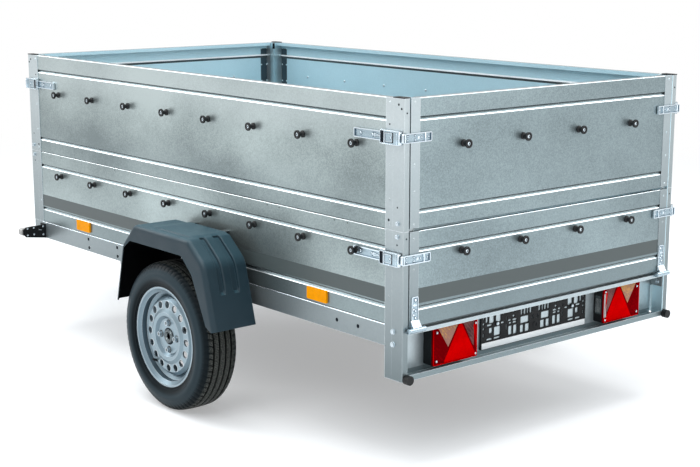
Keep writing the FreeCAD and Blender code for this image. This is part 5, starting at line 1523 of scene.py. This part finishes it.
def makeWheelDetails(name, side, rider):
    bolts, cap, valve, holes, lips = newMeshes(5)
    capSeat, boltSeat, bore = wheel["capSeat"], wheel["boltSeat"], wheel["capBore"]
    start, end, radius = wheel["nut"]
    out = toLeft * side
    centre = wheel["centre"] + out * wheel["middle"]
    face = centre + out * wheel["face"]
    for index in range(4):
        spot = face + ray(fullTurn * index / 4) * wheel["boltCircle"]
        addSpin(holes, ((0, 0.0030), (boltSeat, 0.0030), (boltSeat, 0.0041), (0, 0.0041)), spot, out, 20)
        addSpin(bolts, wheel["washer"], spot, out, 20)
        addRod(bolts, spot + out * start, spot + out * end, radius, 6)
        addDome(bolts, spot + out * (end - 0.0002), out, *wheel["nutCrown"])
    addSpin(cap, wheel["cap"], face, out, 40)
    # painted shade: a dark ring in the gap between tyre and rim
    addSpin(holes, wheel["beadGap"], centre, out, 120)
    addSpin(holes, ((bore, 0.0030), (capSeat, 0.0030), (capSeat, 0.0042), (bore, 0.0042),
                    (bore, 0.0030)), face, out, 40)
    (inner, middle, low), (_, outer, high) = wheel["holeRings"]
    for index in range(wheel["holes"]):
        spoke = ray(fullTurn * index / wheel["holes"])
        spot = face + spoke * wheel["holeCircle"] + out * wheel["holeSeat"]
        lean = out + spoke * wheel["holeLean"]
        # painted shade: a dark ring inside each hole
        addSpin(holes, ((inner, -0.004), (inner, low), (middle, low), (middle, -0.001), (inner, -0.004)),
                spot, lean, 24)
        addSpin(lips, ((middle, 0.0), (middle, high), (outer, 0.0), (middle, 0.0)), spot, lean, 24)
    spoke = ray(math.radians(wheel["valveAngle"]))
    foot = centre + spoke * wheel["valveCircle"]
    neck = foot + out * 0.046 - spoke * 0.004
    addRod(valve, foot + out * 0.036, neck, 0.0072, 16, 0.0052)
    addRod(valve, neck, foot + out * 0.066 - spoke * 0.014, 0.0046, 14, 0.0042)
    finishPiece(bolts, name + "Bolts", hubLook, rider)
    finishPiece(cap, name + "Cap", hubLook, rider)
    finishPiece(valve, name + "Valve", blackLook, rider)
    finishPiece(holes, name + "Holes", shadowLook, rider)
    finishPiece(lips, name + "HoleLips", wheelLook, rider)


tyreLook = makeTyreMaterial()
makeTyre("tyreLeft", 1, "wheel_left", "tyre_left")
makeTyre("tyreRight", -1, "wheel_right", "tyre_right")
makeWheelDetails("wheelLeft", 1, "wheel_left")
makeWheelDetails("wheelRight", -1, "wheel_right")
print("wheels ready")


# Drawbar fittings: bolts of the coupling, clamp screw, crank grip, hub of the jockey wheel

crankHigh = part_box("jockey_tube")[1]
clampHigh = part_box("jockey_clamp")[1]
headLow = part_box("coupling_head")[0]
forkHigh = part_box("jockey_fork")[1]
jockeyLow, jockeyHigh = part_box("jockey_wheel")
drawbar = {
    "bolt": (0.017, 0.008),
    "plateBolts": ((0.019, 0.042), (0.140, 0.042)),      # behind the coupling's start, aside
    "plateTop": headLow.z + 0.0065,
    "neckBolts": ((0.055, 0.031), (0.120, 0.0265)),
    "neckHeight": headLow.z + 0.030,
    "leg": front + 0.300,
    "grip": ((0.0092, 0.000), (0.0118, 0.002), (0.0125, 0.012), (0.0112, 0.034), (0.0125, 0.056),
             (0.0118, 0.066), (0.0092, 0.068)),
    "gripLow": crankHigh.z - 0.084,
    "gripPlace": crankHigh.y - 0.010,
    "screw": Vector((front + 0.245, 0, clampHigh.z - 0.026)),
    "screwReach": 0.060,
    "handle": 0.032,
    "hub": ((0.0225, 0.0), (0.0225, 0.0030), (0.029, 0.0030), (0.031, 0.0012), (0.064, 0.0012),
            (0.067, 0.0048), (0.0712, 0.0048), (0.0718, 0.0)),
}


def makeDrawbarFittings():
    bolts, clamp, grip, nuts, hub = newMeshes(5)
    for side in (-1, 1):
        out = toLeft * side
        for along, aside in drawbar["plateBolts"]:
            addBolt(bolts, (headLow.x + along, side * aside, drawbar["plateTop"] - 0.001), toTop,
                    *drawbar["bolt"])
        for along, aside in drawbar["neckBolts"]:
            addBolt(bolts, (headLow.x + along, side * (aside - 0.0008), drawbar["neckHeight"]), out,
                    *drawbar["bolt"])
    # screw with its folding handle that pinches the clamp's lug
    screw = drawbar["screw"]
    tip = screw + toLeft * drawbar["screwReach"]
    grasp, reach = tip - toLeft * 0.004, toTop * drawbar["handle"]
    addRod(clamp, screw - toLeft * 0.022, tip, 0.006, 18)
    addRod(clamp, grasp - reach, grasp + reach, 0.0048, 16)
    for end in (-1, 1):
        addDome(clamp, grasp + reach * end, toTop * end, 0.0062, 0.005)
    addSpin(clamp, ((0.006, 0.0), (0.0125, 0.0), (0.0125, 0.010), (0.006, 0.012)),
            screw + toLeft * 0.013, toLeft, 24)
    place = (drawbar["leg"], drawbar["gripPlace"], drawbar["gripLow"])
    addSpin(grip, drawbar["grip"], place, toTop, 28)
    # pin nuts on the fork, and the wheel's moulded hub with its ribs
    axle = (jockeyLow + jockeyHigh) / 2
    for side in (-1, 1):
        out = toLeft * side
        addBolt(nuts, axle + out * (forkHigh.y - 0.0045), out, 0.019, 0.009)
        addSpin(hub, drawbar["hub"], axle + out * 0.0121, out, 48)
        for index in range(6):
            spoke, middle = ray(fullTurn * index / 6), axle + out * 0.0130
            addRod(hub, middle + spoke * 0.028, middle + spoke * 0.068, 0.0026, 12)
    finishPiece(bolts, "couplingBolts", boltLook)
    finishPiece(clamp, "clampScrew", zincLook)
    finishPiece(grip, "crankGrip", blackLook)
    finishPiece(nuts, "forkNuts", boltLook, "jockey_fork")
    finishPiece(hub, "jockeyHub", hubPlasticLook, "jockey_wheel")


makeDrawbarFittings()
print("drawbar fittings ready")


# Camera and light

view = {
    "place": (-4.7423, 3.4735, 1.6185),
    "yaw": -40.18,
    "pitch": -11.36,
    "roll": 0.09,
    "lens": 72.44,
    "sensor": 36.0,
}


def makeCamera():
    data = bpy.data.cameras.new("camera")
    data.lens = view["lens"]
    data.sensor_width = view["sensor"]
    data.clip_start = 0.05
    data.clip_end = 100
    camera = bpy.data.objects.new("camera", data)
    yaw = math.radians(view["yaw"])
    pitch = math.radians(view["pitch"])
    ahead = Vector((math.cos(yaw) * math.cos(pitch), math.sin(yaw) * math.cos(pitch), math.sin(pitch)))
    turn = ahead.to_track_quat("-Z", "Y").to_matrix().to_4x4()
    turn = turn @ Matrix.Rotation(math.radians(view["roll"]), 4, "Z")
    camera.matrix_world = Matrix.Translation(view["place"]) @ turn
    bpy.context.collection.objects.link(camera)
    bpy.context.scene.camera = camera


studio = {
    "floorColour": (0.70, 0.71, 0.72, 1),
    "floorSize": 60,
    "floorLift": 0.34,
    "nearFloor": 3.2,
    "farFloor": 7.0,
    "skyColour": (0.86, 0.94, 1.0, 1),
    "skyStrength": 0.5,
    # the last two lie where the pressed grooves and folded edges mirror them to the camera
    "lamps": {
        "keyLamp": {"place": (-3.4, 5.0, 6.4), "size": 4.5, "power": 210, "aim": (-0.6, 0.2, 0.6)},
        "topLamp": {"place": (-0.4, 0.2, 5.4), "size": 5.0, "power": 300, "aim": (-0.4, 0.1, 0.0)},
        "backLamp": {"place": (-7.5, -1.2, 1.3), "size": 3.5, "power": 100, "aim": (-1.6, 0, 0.5)},
        "frontRimLamp": {"place": (5.6, 3.6, 4.9), "size": 4.0, "power": 240, "aim": (-0.4, 0.6, 0.8)},
        "rearRimLamp": {"place": (-4.2, -4.8, 4.9), "size": 3.6, "power": 150, "aim": (-1.6, 0, 0.8)},
    },
}


def makeLamp(name, place, size, power, aim):
    data = bpy.data.lights.new(name, "AREA")
    data.shape = "SQUARE"
    data.size = size
    data.energy = power
    lampObject = bpy.data.objects.new(name, data)
    lampObject.location = place
    lampObject.rotation_euler = (Vector(aim) - Vector(place)).to_track_quat("-Z", "Y").to_euler()
    bpy.context.collection.objects.link(lampObject)


def whiteForCamera(tree):
    # one for rays that see the backdrop: straight, mirrored or through clear plastic
    path = addNode(tree, "LightPath").outputs
    return larger(path["Is Camera Ray"], larger(path["Is Glossy Ray"], path["Is Transmission Ray"]))


def addGlow(tree, kind, colour, strength):
    return addNode(tree, kind, {"Color": colour, "Strength": strength}).outputs[0]


def mixShaders(factor, first, second):
    return addNode(factor.id_data, "MixShader", {0: factor, 1: first, 2: second}).outputs[0]


def makeWorld():
    world = bpy.data.worlds.new("studioWorld")
    bpy.context.scene.world = world
    world.use_nodes = True
    tree = world.node_tree
    tree.nodes.clear()
    soft = addGlow(tree, "Background", studio["skyColour"], studio["skyStrength"])
    plain = addGlow(tree, "Background", (1, 1, 1, 1), 1.0)
    link(mixShaders(whiteForCamera(tree), soft, plain), addNode(tree, "OutputWorld").inputs["Surface"])


def makeFloor():
    bm = bmesh.new()
    bmesh.ops.create_grid(bm, x_segments=1, y_segments=1, size=studio["floorSize"] / 2)
    data = bpy.data.meshes.new("floor")
    bm.to_mesh(data)
    bm.free()
    floor = bpy.data.objects.new("floor", data)
    bpy.context.collection.objects.link(floor)
    material, tree, shader = newMaterial("paleFloor", colour=studio["floorColour"], roughness=0.9,
                                         specular=0.0)
    # seen directly the floor is lifted to white, all of it far away, and keeps the shadow near by
    place = coords(tree)["Object"]
    reach = addNode(tree, "VectorMath", {0: place}, operation="LENGTH").outputs["Value"]
    far = ramp(reach, studio["nearFloor"], studio["farFloor"], smooth=True)
    white = addGlow(tree, "Emission", (1, 1, 1, 1), 1.0)
    lift = addGlow(tree, "Emission", (1, 1, 1, 1), studio["floorLift"])
    lifted = addNode(tree, "AddShader", {0: shader.outputs[0], 1: lift}).outputs[0]
    both = mixShaders(whiteForCamera(tree), shader.outputs[0], mixShaders(far, lifted, white))
    link(both, tree.nodes["Material Output"].inputs["Surface"])
    data.materials.append(material)


bpy.context.scene.view_settings.view_transform = "Standard"
makeCamera()
for name, settings in studio["lamps"].items():
    makeLamp(name, **settings)
makeWorld()
makeFloor()
print("camera and studio ready")
